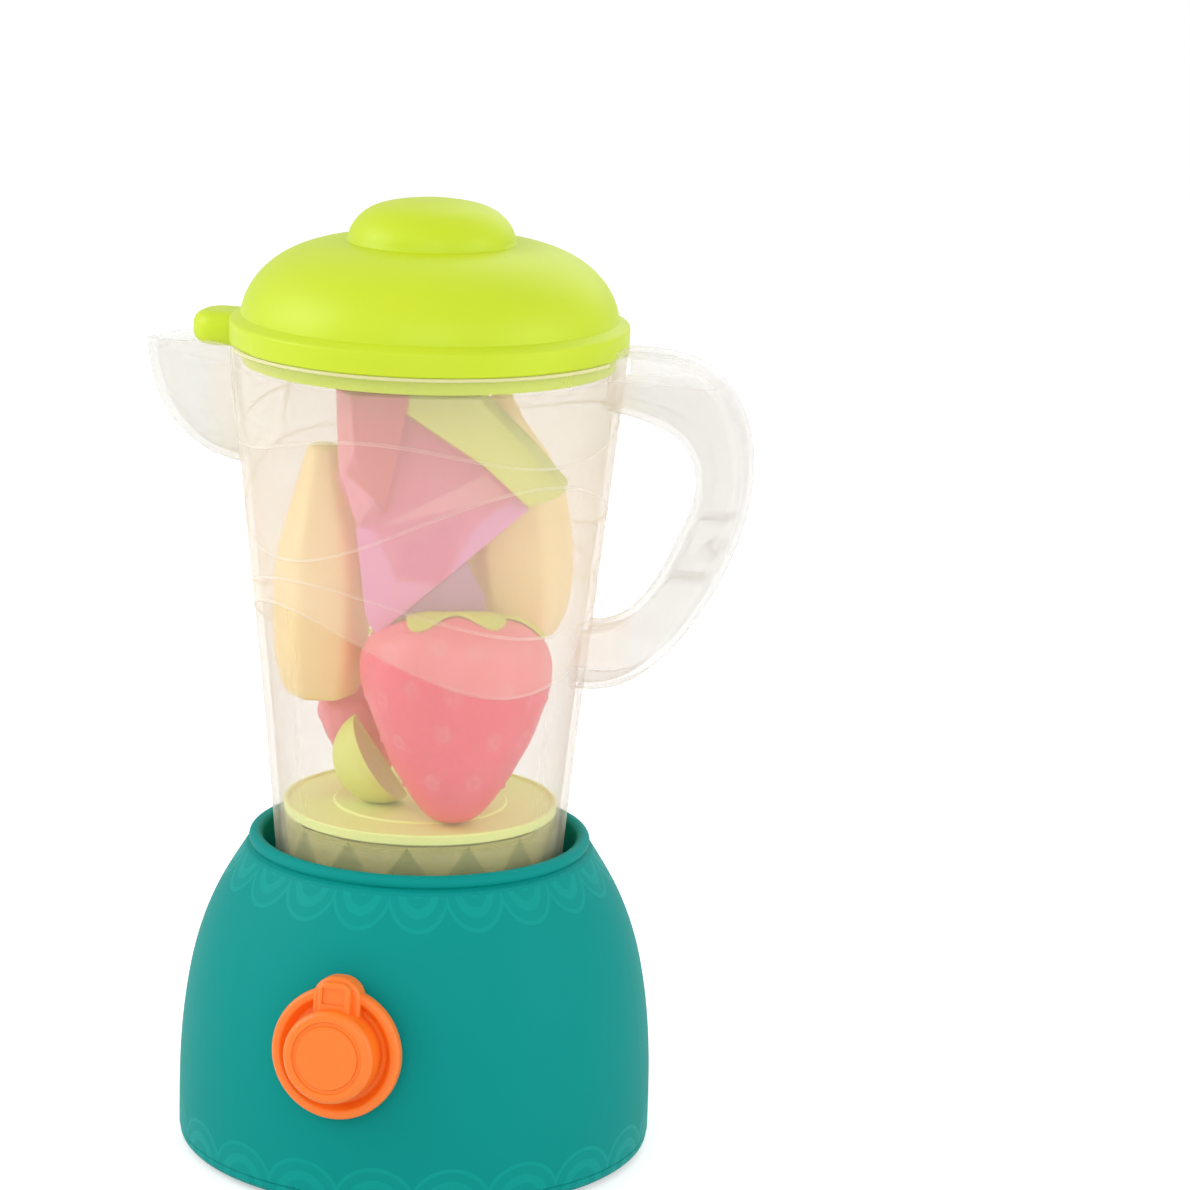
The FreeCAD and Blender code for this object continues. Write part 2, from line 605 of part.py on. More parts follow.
def dial_knob():
    back = PAD_TOP + 0.35
    groove_in, groove_out, groove_depth = CAP_GROOVE
    slope = 0.3
    body = turned([
        (0, -9.3, 0), (2.6, -9.3, 0), (2.6, PAD_BACK - 0.2, 0), (SHAFT_R, PAD_BACK - 0.2, 0),
        (SHAFT_R, back, 0), (DIAL_R, back, 1.2), (DIAL_R, 5.9, 1.5), (16.4, 5.9, 1.0),
        (14.6, 3.4, 0.9), (CAP_R, 3.4, 0), (CAP_R, CAP_TOP, 2.0), (groove_out, CAP_TOP, 0),
        (groove_out - slope, CAP_TOP - groove_depth, 0), (groove_in + slope, CAP_TOP - groove_depth, 0),
        (groove_in, CAP_TOP, 0), (0, CAP_TOP, 0)])
    ear = block(-7.0, 7.0, 8.0, 22.0, back, 7.0)
    ear = ear.makeFillet(6.2, [e for e in ear.Edges if e.BoundBox.ZLength > 1 and e.BoundBox.YMin > 20])
    ear = ear.makeFillet(1.2, [e for e in ear.Edges if e.BoundBox.ZMin > 6.9])
    bridge = block(-4.75, 4.75, 10.0, 20.8, 3.0, 9.6)
    bridge = bridge.makeFillet(2.6, [e for e in bridge.Edges
                                     if e.BoundBox.ZLength > 1 and e.BoundBox.YMin > 20])
    bridge = bridge.makeFillet(0.9, [e for e in bridge.Edges if e.BoundBox.ZMin > 9.5])
    body = fused(body, [ear, bridge])
    key_flat = block(-3, 3, 1.9, 4, -9.4, PAD_BACK - 0.2)
    face = block(-3.3, 3.3, 14.6, 19.2, 9.0, 10.0)
    return dial_place(body.cut([key_flat, face, disc(SCREW_HOLE - 0.4, -9.4, 0)]))


def click_wheel():
    wheel = disc(9.0, PAD_BACK - 4.2, PAD_BACK - 0.3)
    notch = disc(1.5, PAD_BACK - 5, PAD_BACK, 9.2, 0)
    bore = disc(2.65, PAD_BACK - 5, PAD_BACK).cut(block(-3, 3, 1.95, 4, -12, 0))
    return dial_place(wheel.cut(around(notch, CLICKS, 90) + [bore]))


def dial_screw():
    screw = self_tapping_screw(7.0, 1.05, 3.6, 1.4)
    screw.translate(Vec(0, 0, -9.35))
    return dial_place(screw)


def click_spring():
    """Bent steel leaf, gripped by its post, with a nose that drops into a notch."""
    thick = 0.55
    path = [flat(CLIP_POST[0] - 4.5, CLIP_POST[1]), flat(-7.0, CLIP_POST[1]), flat(-2.0, -10.9),
            flat(0, -8.4), flat(2.0, -10.9), flat(7.0, -11.6)]
    sides = offset_points(path, thick / 2), offset_points(path, -thick / 2)
    loop = sides[0] + sides[1][::-1]
    strip = Part.Face(Part.makePolygon(loop + loop[:1])).extrude(Vec(0, 2.8, 0))
    strip.rotate(Vec(0, 0, 0), Vec(1, 0, 0), 90)
    strip.translate(Vec(0, 0, strip.BoundBox.ZLength - 8.8 - strip.BoundBox.ZMax))
    return dial_place(strip)


# ---- toy fruit -------------------------------------------------------------

def lay(shape):
    """From the pile's grid (x right, y back, z up) to the part's frame."""
    return spin(shape, FRUIT_TURN)


def lean(shape, x, y, z, sideways=0.0, backward=0.0):
    """Tilts a fruit that stands on the origin, then puts its foot at a point."""
    placed = shape.copy()
    placed.rotate(Vec(0, 0, 0), Vec(1, 0, 0), -backward)
    placed.rotate(Vec(0, 0, 0), Vec(0, 1, 0), sideways)
    placed.translate(Vec(x, y, z))
    return lay(placed)


STRAWBERRY_LINE = [(0, 0, 0), (7.0, 0, 9.0), (28.3, 40.0, 26.0), (25.0, 57.8, 10.0), (0, 57.8, 0)]
STRAWBERRY_AT = (7.2, -25.0, TABLE_Z + 1.3)
STRAWBERRY_LEAN = 14.0
LEAF_T = 1.2


def strawberry():
    return lean(turned(STRAWBERRY_LINE), *STRAWBERRY_AT, 0.0, STRAWBERRY_LEAN)


def strawberry_leaves():
    """Star of pointed leaves with a short stalk, lying on the fruit's shoulder."""
    fruit = turned(STRAWBERRY_LINE)
    blanket = fruit.copy()
    blanket.translate(Vec(0, 0, LEAF_T))
    points = []
    lobes = 7
    for i in range(2 * lobes):
        radius = 23.5 if i % 2 == 0 else 11.5
        points.append(Vec(*polar(radius, 180.0 * i / lobes), 45.0))
    star = Part.Face(Part.makePolygon(points + points[:1])).extrude(Vec(0, 0, 30))
    crown = blanket.common(star).cut(fruit).fuse(disc(2.2, 58.0, 63.0)).removeSplitter()
    return lean(crown, *STRAWBERRY_AT, 0.0, STRAWBERRY_LEAN)


MANGO_LINE = [(0, 0, 0), (9.0, 0, 3.5), (14.4, 14.0, 36.0), (14.4, 40.0, 60.0), (5.2, 74.0, 2.5),
              (0, 74.0, 0)]
MANGO_LEFT_AT = (-29.8, 5.2, 134.3)
MANGO_RIGHT_AT = (28.6, 14.4, 150.6)
MANGO_RIGHT_TILT = -3.0


def mango_left():
    return lean(turned(MANGO_LINE), *MANGO_LEFT_AT)


def mango_right():
    return lean(turned(MANGO_LINE), *MANGO_RIGHT_AT, MANGO_RIGHT_TILT)


def cut_fruit(front, back, y_front, y_back):
    """Wedge with flat cut faces between a front and a back outline."""
    wires = []
    for outline, y in ((front, y_front), (back, y_back)):
        points = [Vec(x, y, z) for x, z in outline]
        wires.append(Part.makePolygon(points + points[:1]))
    return lay(Part.makeLoft(wires, True, True))


PILE_Y = -20.0                  # the upper fruit meet in this plane
PILE_TOP = 229.0                # just under the lid's skirt
WEDGE_FRONT = -32.0
CHUNK_BACK = 6.0


def watermelon_wedge():
    """Slice that hangs point down, with a narrow cut face on its left."""
    front = [(-21.7, PILE_TOP), (-5.6, PILE_TOP), (-5.8, 226.5), (-11.4, 197.5), (-14.6, 199.5),
             (-20.4, 213.0)]
    back = [(-26.2, PILE_TOP), (-5.6, PILE_TOP), (-5.8, 224.6), (-11.6, 193.3), (-19.3, 189.1),
            (-24.9, 202.0)]
    return cut_fruit(front, back, WEDGE_FRONT, PILE_Y)


def melon_wedge():
    """Slanting slice of melon, thinner along its outer edge."""
    front = [(-5.2, 224.5), (-5.2, 225.5), (14.2, 226.0), (27.4, 213.6), (37.6, 204.2), (37.0, 201.2),
             (28.6, 198.4), (16.2, 209.6)]
    back = [(-5.2, 221.5), (-5.2, PILE_TOP), (15.9, PILE_TOP), (28.9, 216.4), (40.0, 204.0),
            (39.4, 200.8), (29.1, 195.3), (16.3, 207.2)]
    return cut_fruit(front, back, WEDGE_FRONT + 1.0, PILE_Y)


def dragonfruit_chunk():
    """Large chunk behind the wedges, cut to slant up to the right."""
    front = [(-19.9, 188.0), (-20.4, 164.8), (-17.4, 158.8), (29.1, 195.2), (29.4, 198.5), (14.0, 213.0),
             (-5.2, 224.5), (-10.0, 224.5)]
    back = [(-13.0, 186.0), (-12.6, 169.0), (-10.0, 166.0), (9.0, 180.0), (9.5, 192.0), (6.0, 199.0),
            (-3.0, 205.0), (-8.0, 205.0)]
    return cut_fruit(front, back, PILE_Y, CHUNK_BACK)


def plum_wedge():
    """Piece of plum caught between the strawberry and the chunk above it."""
    front = [(-7.0, 160.0), (-3.0, 170.0), (11.3, 180.0), (17.6, 168.8), (17.0, 160.0)]
    back = [(-5.0, 160.0), (-2.0, 172.0), (10.0, 182.0), (14.5, 170.0), (14.0, 160.0)]
    wedge = cut_fruit(front, back, -19.0, -8.0)
    return wedge.cut([dragonfruit_chunk(), strawberry(), strawberry_leaves()])


LIME_R = 13.5
LIME_SLICE = 75.0               # degrees between the cut faces
LIME_FACE = 165.0               # direction of the first cut face
LIME_AT = (-12.8, 3.4, 117.3)
LIME_TILT = -27.0


def lime_wedge():
    """Slice of a round lime between two flat cut faces, leaning to the left."""
    slice_of_ball = Part.makeSphere(LIME_R, Vec(0, 0, 0), UP, -90, 90, LIME_SLICE)
    return lean(spin(slice_of_ball, LIME_FACE), *LIME_AT, LIME_TILT)


RASPBERRY_LINE = [(0, 0, 0), (3.5, 0, 3.0), (15.2, 22.0, 10.0), (12.6, 30.8, 4.0), (0, 30.8, 0)]
RASPBERRY_AT = (-18.0, 19.4, TABLE_Z + 0.6)


def raspberry():
    return lean(turned(RASPBERRY_LINE), *RASPBERRY_AT)


# ---- all pieces ------------------------------------------------------------

PIECES = [
    base_shell, base_plate, rubber_feet, plate_screws, twist_spindle, spindle_screw, return_spring,
    click_spring, press_carriage, bearing_washer, drive_hub, hub_clip, turntable, turntable_clip,
    jug_body, handle_cover, lid_shell, dial_knob, click_wheel, dial_screw, strawberry,
    strawberry_leaves, mango_left, mango_right, watermelon_wedge, melon_wedge, dragonfruit_chunk,
    plum_wedge, lime_wedge, raspberry,
]

os.makedirs("parts", exist_ok=True)
for make in PIECES:
    shape = make()
    if not shape.isValid():
        print("not valid:", make.__name__)
    box = shape.BoundBox
    print(f"{make.__name__:20s} solids {len(shape.Solids)}  volume {shape.Volume / 1000:8.2f} cm3"
          f"  z {box.ZMin:7.2f} to {box.ZMax:7.2f}")
    shape.exportStep(f"parts/{make.__name__}.step")
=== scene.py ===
import bpy
import json
import math
from mathutils import Matrix, Vector


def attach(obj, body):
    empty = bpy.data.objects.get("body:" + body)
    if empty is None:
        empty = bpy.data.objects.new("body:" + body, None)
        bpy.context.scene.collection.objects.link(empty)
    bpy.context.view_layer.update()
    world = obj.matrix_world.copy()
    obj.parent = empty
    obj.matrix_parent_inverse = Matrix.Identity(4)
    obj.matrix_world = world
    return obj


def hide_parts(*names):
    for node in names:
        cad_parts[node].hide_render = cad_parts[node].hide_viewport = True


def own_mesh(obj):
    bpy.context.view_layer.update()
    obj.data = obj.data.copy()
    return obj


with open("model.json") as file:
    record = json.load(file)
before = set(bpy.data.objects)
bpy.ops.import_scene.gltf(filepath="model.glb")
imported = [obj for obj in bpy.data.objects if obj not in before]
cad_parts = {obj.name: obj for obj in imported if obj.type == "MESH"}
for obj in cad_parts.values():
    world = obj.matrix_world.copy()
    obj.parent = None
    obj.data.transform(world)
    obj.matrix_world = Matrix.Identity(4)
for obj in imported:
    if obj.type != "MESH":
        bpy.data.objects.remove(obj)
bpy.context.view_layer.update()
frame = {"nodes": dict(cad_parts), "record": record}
nodes = frame["nodes"]
scene = bpy.context.scene


def mm(value):
    return value / 1000.0


def place(x, y, z):
    return Vector((mm(x), mm(y), mm(z)))


def linearColour(hexText):
    # sRGB hex to the linear values that shaders take
    values = []
    for start in (1, 3, 5):
        part = int(hexText[start:start + 2], 16) / 255.0
        values.append(part / 12.92 if part <= 0.04045 else ((part + 0.055) / 1.055) ** 2.4)
    return (*values, 1.0)


def addNode(material, kind, inputs=None, **settings):
    node = material.node_tree.nodes.new(kind)
    for key, value in settings.items():
        setattr(node, key, value)
    for key, value in (inputs or {}).items():
        if isinstance(value, bpy.types.Node):
            value = value.outputs[0]
        if isinstance(value, bpy.types.NodeSocket):
            material.node_tree.links.new(value, node.inputs[key])
        else:
            node.inputs[key].default_value = value
    return node


def newMaterial(name):
    material = bpy.data.materials.new(name)
    material.use_nodes = True
    material.node_tree.nodes.clear()
    return material


def cellsPer(sizeMm):
    # noise scale on Object coordinates, for features of that size
    return 1000.0 / sizeMm


def mixColour(material, share, first, second):
    mixed = addNode(material, "ShaderNodeMix", {0: share, "A": first, "B": second}, data_type="RGBA")
    return mixed.outputs["Result"]


def cloudyColour(material, coords, look):
    # two close tones that drift into each other over the piece
    drift = addNode(material, "ShaderNodeTexNoise",
                    {"Vector": coords, "Scale": cellsPer(look["driftMm"]), "Detail": 2.0})
    return mixColour(material, drift, linearColour(look["colour"]), linearColour(look["shade"]))


def mouldGrain(material, coords, look, sharpness=0.6, shine=0.05, dull=0.07, deepMm=0.05):
    # fine texture of the mould: roughness that varies with it, and its bump
    grain = addNode(material, "ShaderNodeTexNoise",
                    {"Vector": coords, "Scale": cellsPer(look["grainMm"]), "Detail": 3.0,
                     "Roughness": sharpness})
    satin = addNode(material, "ShaderNodeMapRange",
                    {0: grain, 3: look["roughness"] - shine, 4: look["roughness"] + dull})
    bump = addNode(material, "ShaderNodeBump",
                   {"Height": grain, "Strength": look["bump"], "Distance": mm(deepMm)})
    return satin, bump


def finishShader(material, look, colour, roughness, normal, alpha=1.0):
    sockets = {
        "Base Color": colour,
        "Roughness": roughness,
        "IOR": 1.5,  # the default, and all of these plastics are close to it
        "Specular IOR Level": look.get("specular", 0.5),
        "Metallic": look.get("metallic", 0.0),
        "Subsurface Weight": look.get("subsurface", 0.0),
        "Subsurface Scale": mm(look.get("scatterMm", 2.0)),
        "Subsurface Radius": look.get("scatterTint", (1.0, 0.8, 0.6)),
        "Normal": normal,
        "Alpha": alpha,
    }
    shader = addNode(material, "ShaderNodeBsdfPrincipled", sockets)
    addNode(material, "ShaderNodeOutputMaterial", {"Surface": shader})


pileTurn = 18.0  # degrees from the part's axes to the grid that the toy fruit is laid out on


def patchMask(material, coords, corners, softMm):
    # 1 inside a convex outline given as (right, up) in mm on the fruit's grid
    grid = addNode(material, "ShaderNodeMapping",
                   {"Vector": coords, "Rotation": (0, 0, math.radians(-pileTurn))})
    middle = sum((place(x, 0, z) for x, z in corners), Vector()) / len(corners)
    mask = None
    for first, second in zip(corners, corners[1:] + corners[:1]):
        edge = place(second[0] - first[0], 0, second[1] - first[1])
        inward = Vector((-edge.z, 0, edge.x)).normalized()
        if inward.dot(middle - place(first[0], 0, first[1])) < 0:
            inward.negate()
        side = addNode(material, "ShaderNodeVectorMath", {0: grid, 1: inward}, operation="DOT_PRODUCT")
        start = inward.dot(place(first[0], 0, first[1]))
        step = addNode(material, "ShaderNodeMapRange",
                       {0: side.outputs["Value"], 1: start - mm(softMm), 2: start + mm(softMm)},
                       interpolation_type="SMOOTHSTEP")
        mask = step if mask is None else addNode(material, "ShaderNodeMath", {0: mask, 1: step},
                                                 operation="MULTIPLY")
    return mask


def mouldedPlastic(look):
    # Injection-moulded plastic: even colour with a faint cloudy drift, and a fine spark-eroded
    # texture from the mould that spreads the highlight.
    material = newMaterial(look["name"])
    coords = addNode(material, "ShaderNodeTexCoord").outputs["Object"]
    colour = cloudyColour(material, coords, look)
    for patch in look.get("patches", ()):
        mask = patchMask(material, coords, patch["corners"], patch["softMm"])
        colour = mixColour(material, mask, colour, linearColour(patch["colour"]))
    # painted highlight: the seed rings take a paler colour where the mesh marks them
    if "ringHighlightColour" in look:
        ringHighlight = addNode(material, "ShaderNodeAttribute", attribute_name="ringHighlight")
        colour = mixColour(material, ringHighlight.outputs["Fac"], colour, linearColour(look["ringHighlightColour"]))
    roughness, bump = mouldGrain(material, coords, look)
    finishShader(material, look, colour, roughness, bump)
    return material


# ABS is evenly coloured with a satin sheen, acetal waxy and off-white, and rubber matt with a
# coarser grain
plasticLooks = {
    "lid_plastic": {"name": "limeAbs", "colour": "#cbdf26", "shade": "#c4d91e", "roughness": 0.42,
                    "driftMm": 45.0, "grainMm": 0.5, "bump": 0.12, "subsurface": 0.12, "scatterMm": 3.0,
                    "specular": 0.4},
    "table_plastic": {"name": "limeTurntableAbs", "colour": "#f0f99c", "shade": "#eaf290",
                      "roughness": 0.45, "driftMm": 30.0, "grainMm": 0.5, "bump": 0.12},
    "dial_plastic": {"name": "orangeAbs", "colour": "#fa8020", "shade": "#f6791b", "roughness": 0.38,
                     "driftMm": 25.0, "grainMm": 0.45, "bump": 0.1, "subsurface": 0.1, "scatterMm": 2.0},
    "natural_plastic": {"name": "naturalAcetal", "colour": "#e6dfc4", "shade": "#ddd5b6", "roughness": 0.5,
                        "driftMm": 12.0, "grainMm": 0.4, "bump": 0.1},
    "foot_rubber": {"name": "greyThermoplasticRubber", "colour": "#4a4d4f", "shade": "#3d4042",
                    "roughness": 0.75, "driftMm": 8.0, "grainMm": 0.35, "bump": 0.3},
}

# skinRadius lies between the well and the outer skin, so that only the skin is printed
scallopPrint = {"count": 20, "roundMm": 66.0, "radiusMm": 11.5, "ringMm": 2.6, "lowZ": 3.0, "highZ": 91.5,
                "topZ": 89.3, "skinRadius": 49.0, "edge": 0.12, "gapTone": 0.25, "gloss": 0.05}


def scallopRow(material, coords, centreZ, turn):
    # one row of half circles round the base: 1 on every other ring of each, less between them
    axes = addNode(material, "ShaderNodeSeparateXYZ", {0: coords})
    angle = addNode(material, "ShaderNodeMath", {0: axes.outputs["Y"], 1: axes.outputs["X"]},
                    operation="ARCTAN2")
    share = addNode(material, "ShaderNodeMath",
                    {0: angle, 1: scallopPrint["count"] / math.tau, 2: turn}, operation="MULTIPLY_ADD")
    cell = addNode(material, "ShaderNodeMath", {0: share, 1: 0.0, 2: 1.0}, operation="WRAP")
    middle = addNode(material, "ShaderNodeMath", {0: cell, 1: 0.5}, operation="SUBTRACT")
    pitch = math.tau * mm(scallopPrint["roundMm"]) / scallopPrint["count"]
    across = addNode(material, "ShaderNodeMath", {0: middle, 1: pitch}, operation="MULTIPLY")
    height = addNode(material, "ShaderNodeMath", {0: axes.outputs["Z"], 1: mm(centreZ)},
                     operation="SUBTRACT")
    spot = addNode(material, "ShaderNodeCombineXYZ", {0: across, 1: height})
    distance = addNode(material, "ShaderNodeVectorMath", {0: spot}, operation="LENGTH")
    inside = addNode(material, "ShaderNodeMath",
                     {0: distance.outputs["Value"], 1: mm(scallopPrint["radiusMm"])}, operation="LESS_THAN")
    rings = addNode(material, "ShaderNodeMath",
                    {0: distance.outputs["Value"], 1: math.tau / mm(2 * scallopPrint["ringMm"])},
                    operation="MULTIPLY")
    wave = addNode(material, "ShaderNodeMath", {0: rings}, operation="SINE")
    bands = addNode(material, "ShaderNodeMapRange",
                    {0: wave, 1: -scallopPrint["edge"], 2: scallopPrint["edge"],
                     3: scallopPrint["gapTone"], 4: 1.0})
    return addNode(material, "ShaderNodeMath", {0: inside, 1: bands}, operation="MULTIPLY")


def basePlastic():
    # Teal ABS with a satin mould texture. Rows of plain scallops are printed tone on tone in a
    # slightly lighter, glossier lacquer.
    look = {"name": "tealAbs", "colour": "#00928b", "shade": "#008b85", "print": "#079890",
            "roughness": 0.58, "driftMm": 60.0, "grainMm": 0.5, "bump": 0.12, "specular": 0.1}
    material = newMaterial(look["name"])
    coords = addNode(material, "ShaderNodeTexCoord").outputs["Object"]
    lowRow = scallopRow(material, coords, scallopPrint["lowZ"], 0.0)
    highRow = scallopRow(material, coords, scallopPrint["highZ"], 0.5)
    rows = addNode(material, "ShaderNodeMath", {0: lowRow, 1: highRow}, operation="MAXIMUM")
    axes = addNode(material, "ShaderNodeSeparateXYZ", {0: coords})
    belowRim = addNode(material, "ShaderNodeMath",
                       {0: axes.outputs["Z"], 1: mm(scallopPrint["topZ"])}, operation="LESS_THAN")
    flat = addNode(material, "ShaderNodeCombineXYZ", {0: axes.outputs["X"], 1: axes.outputs["Y"]})
    radius = addNode(material, "ShaderNodeVectorMath", {0: flat}, operation="LENGTH")
    onSkin = addNode(material, "ShaderNodeMath",
                     {0: radius.outputs["Value"], 1: mm(scallopPrint["skinRadius"])},
                     operation="GREATER_THAN")
    outer = addNode(material, "ShaderNodeMath", {0: belowRim, 1: onSkin}, operation="MULTIPLY")
    printed = addNode(material, "ShaderNodeMath", {0: rows, 1: outer}, operation="MULTIPLY")
    colour = mixColour(material, printed, cloudyColour(material, coords, look), linearColour(look["print"]))
    satin, bump = mouldGrain(material, coords, look)
    roughness = addNode(material, "ShaderNodeMath",
                        {0: printed, 1: -scallopPrint["gloss"], 2: satin}, operation="MULTIPLY_ADD")
    finishShader(material, look, colour, roughness, bump)
    return material


# Four wavy beads run round the jug's wall: mean height and swing in mm, waves per turn, and
# phase in degrees.
waves = {
    "low": {"height": 156.5, "swing": 11.5, "count": 2, "phase": -14.0},
    "middleLow": {"height": 169.0, "swing": 7.5, "count": 2, "phase": -41.0},
    "middleHigh": {"height": 194.0, "swing": 12.0, "count": 2, "phase": 161.0},
    "high": {"height": 215.5, "swing": 4.0, "count": 3, "phase": -2.0},
}


def waveHeight(name, angle):
    wave = waves[name]
    turn = wave["count"] * angle + math.radians(wave["phase"])
    return mm(wave["height"] + wave["swing"] * math.sin(turn))


# the warm tone, used within the given radius of the axis, is a painted warm bounce of light from the fruit
# and the lime disc inside the jug
jugLook = {"name": "frostedPolypropylene", "warmBounce": "#e0d4c1", "plain": "#dad6cf",
           # the low tone, used below the lowest wave, is darker as painted shade of the dimmer lower inside
           "lowShadeTone": "#cbc0aa", "roughness": 0.3,
           "clear": 0.15, "haze": 0.085, "rimClear": -0.1, "edge": 0.5, "driftMm": 35.0,
           "grainMm": 0.6, "bump": 0.08, "specular": 0.35, "subsurface": 1.0, "scatterMm": 3.0,
           "scatterTint": (1.0, 0.96, 0.9), "warmBounceWithin": 58.0, "plainBeyond": 66.0, "cloud": 0.06,
           "rimZ": 233.5, "shading": 0.08, "footMilk": 0.1, "footZ": 100.5, "footFade": 3.0,
           "edgeBlend": 0.35, "edgePower": 2.6, "hazeRough": 0.12, "waveEdge": (-0.2, 0.4),
           "rimEdge": (-0.6, 0.4)}


def jugPlastic():
    # Translucent polypropylene: lets light through with a milky haze, which is denser above the
    # lowest wave and where the wall is seen edge on. Haze scatters light forwards, so that the
    # wall takes only a part of the light that goes through it to the toy fruit.
    look = jugLook
    material = newMaterial(look["name"])
    coords = addNode(material, "ShaderNodeTexCoord").outputs["Object"]
    axes = addNode(material, "ShaderNodeSeparateXYZ", {0: coords})
    flat = addNode(material, "ShaderNodeCombineXYZ", {0: axes.outputs["X"], 1: axes.outputs["Y"]})
    radius = addNode(material, "ShaderNodeVectorMath", {0: flat}, operation="LENGTH")
    outside = addNode(material, "ShaderNodeMapRange",
                      {0: radius.outputs["Value"], 1: mm(look["warmBounceWithin"]), 2: mm(look["plainBeyond"])})
    drift = addNode(material, "ShaderNodeTexNoise",
                    {"Vector": coords, "Scale": cellsPer(look["driftMm"]), "Detail": 3.0})
    cloud = addNode(material, "ShaderNodeMapRange", {0: drift, 3: -look["cloud"], 4: look["cloud"]})
    blend = addNode(material, "ShaderNodeMath", {0: outside, 1: cloud}, operation="ADD", use_clamp=True)
    # painted light: the wall turns to the warm tone within the body, a painted bounce from the fruit
    # inside; the spout and the handle keep the plain tone
    colour = mixColour(material, blend, linearColour(look["warmBounce"]), linearColour(look["plain"]))
    angle = addNode(material, "ShaderNodeMath", {0: axes.outputs["Y"], 1: axes.outputs["X"]},
                    operation="ARCTAN2")
    low = waves["low"]
    phase = addNode(material, "ShaderNodeMath",
                    {0: angle, 1: low["count"], 2: math.radians(low["phase"])}, operation="MULTIPLY_ADD")
    swing = addNode(material, "ShaderNodeMath", {0: phase}, operation="SINE")
    line = addNode(material, "ShaderNodeMath", {0: swing, 1: mm(low["swing"]), 2: mm(low["height"])},
                   operation="MULTIPLY_ADD")
    above = addNode(material, "ShaderNodeMath", {0: axes.outputs["Z"], 1: line}, operation="SUBTRACT")
    zone = addNode(material, "ShaderNodeMapRange",
                   {0: above, 1: mm(look["waveEdge"][0]), 2: mm(look["waveEdge"][1])})
    rim = addNode(material, "ShaderNodeMapRange",
                  {0: axes.outputs["Z"], 1: mm(look["rimZ"] + look["rimEdge"][0]),
                   2: mm(look["rimZ"] + look["rimEdge"][1])})
    facing = addNode(material, "ShaderNodeLayerWeight", {"Blend": look["edgeBlend"]}).outputs["Facing"]
    edge = addNode(material, "ShaderNodeMath", {0: facing, 1: look["edgePower"]}, operation="POWER")
    haze = addNode(material, "ShaderNodeMath", {0: zone, 1: look["haze"], 2: look["clear"]},
                   operation="MULTIPLY_ADD")
    thinned = addNode(material, "ShaderNodeMath", {0: rim, 1: look["rimClear"], 2: haze},
                      operation="MULTIPLY_ADD")
    foot = addNode(material, "ShaderNodeMapRange",
                   {0: axes.outputs["Z"], 1: mm(look["footZ"]), 2: mm(look["footZ"] - look["footFade"])})
    milky = addNode(material, "ShaderNodeMath", {0: foot, 1: look["footMilk"], 2: thinned},
                    operation="MULTIPLY_ADD")
    seen = addNode(material, "ShaderNodeMath", {0: edge, 1: look["edge"], 2: milky},
                   operation="MULTIPLY_ADD", use_clamp=True)
    paths = addNode(material, "ShaderNodeLightPath")
    light = addNode(material, "ShaderNodeMath", {0: paths.outputs["Is Shadow Ray"],
                                                 1: paths.outputs["Is Diffuse Ray"]}, operation="MAXIMUM")
    shading = addNode(material, "ShaderNodeMapRange", {0: light, 3: 1.0, 4: look["shading"]})
    alpha = addNode(material, "ShaderNodeMath", {0: seen, 1: shading}, operation="MULTIPLY")
    satin, bump = mouldGrain(material, coords, look, sharpness=0.5, dull=0.05)
    roughness = addNode(material, "ShaderNodeMath", {0: zone, 1: look["hazeRough"], 2: satin},
                        operation="MULTIPLY_ADD")
    # painted shade: the darker low tone below the lowest wave, the haze colour above it
    tone = mixColour(material, zone, linearColour(look["lowShadeTone"]), colour)
    finishShader(material, look, tone, roughness, bump, alpha)
    return material


trimLooks = {
    "wave": {"name": "polypropyleneBead", "colour": "#f4ecdc", "roughness": 0.25, "clear": 0.03,
             "edge": 0.6, "edgeBlend": 0.4, "grainMm": 0.6, "bump": 0.08},
    "lip": {"name": "polypropyleneLip", "colour": "#f3edb8", "roughness": 0.3, "clear": 0.55,
            "edge": 0.3, "edgeBlend": 0.4, "grainMm": 0.6, "bump": 0.08},
    # the facet colours are painted light and shade: pale on the triangles of the turned top ring, darker
    # olive on the rest, and the olive also paints the shade under the turntable
    "facets": {"name": "polypropyleneFacets", "colour": "#98a636", "second": "#ccc868",
               "roughness": 0.22, "clear": 0.55, "edge": 0.2, "edgeBlend": 0.4, "grainMm": 0.8,
               "bump": 0.08},
}


def trimPlastic(look):
    # The same polypropylene in thin trim: clearer when seen square on, milky at its sides.
    material = newMaterial(look["name"])
    coords = addNode(material, "ShaderNodeTexCoord").outputs["Object"]
    facing = addNode(material, "ShaderNodeLayerWeight", {"Blend": look["edgeBlend"]}).outputs["Facing"]
    alpha = addNode(material, "ShaderNodeMath", {0: facing, 1: look["edge"], 2: look["clear"]},
                    operation="MULTIPLY_ADD", use_clamp=True)
    satin, bump = mouldGrain(material, coords, look, sharpness=0.5, dull=0.05)
    colour = linearColour(look["colour"])
    # a second colour on the faces marked turned, painted light on the facets
    if "second" in look:
        turned = addNode(material, "ShaderNodeAttribute", attribute_name="turned")
        colour = mixColour(material, turned.outputs["Fac"], colour, linearColour(look["second"]))
    finishShader(material, look, colour, satin, bump, alpha)
    return material


def drawnSteel():
    # Zinc-plated and drawn steel: metal with fine drawing marks, a little dulled.
    look = {"name": "zincPlatedSteel", "colour": "#b8bbbe", "shade": "#a3a7ab", "roughness": 0.32,
            "metallic": 1.0, "driftMm": 3.0, "grainMm": 0.3, "bump": 0.1}
    return mouldedPlastic(look)


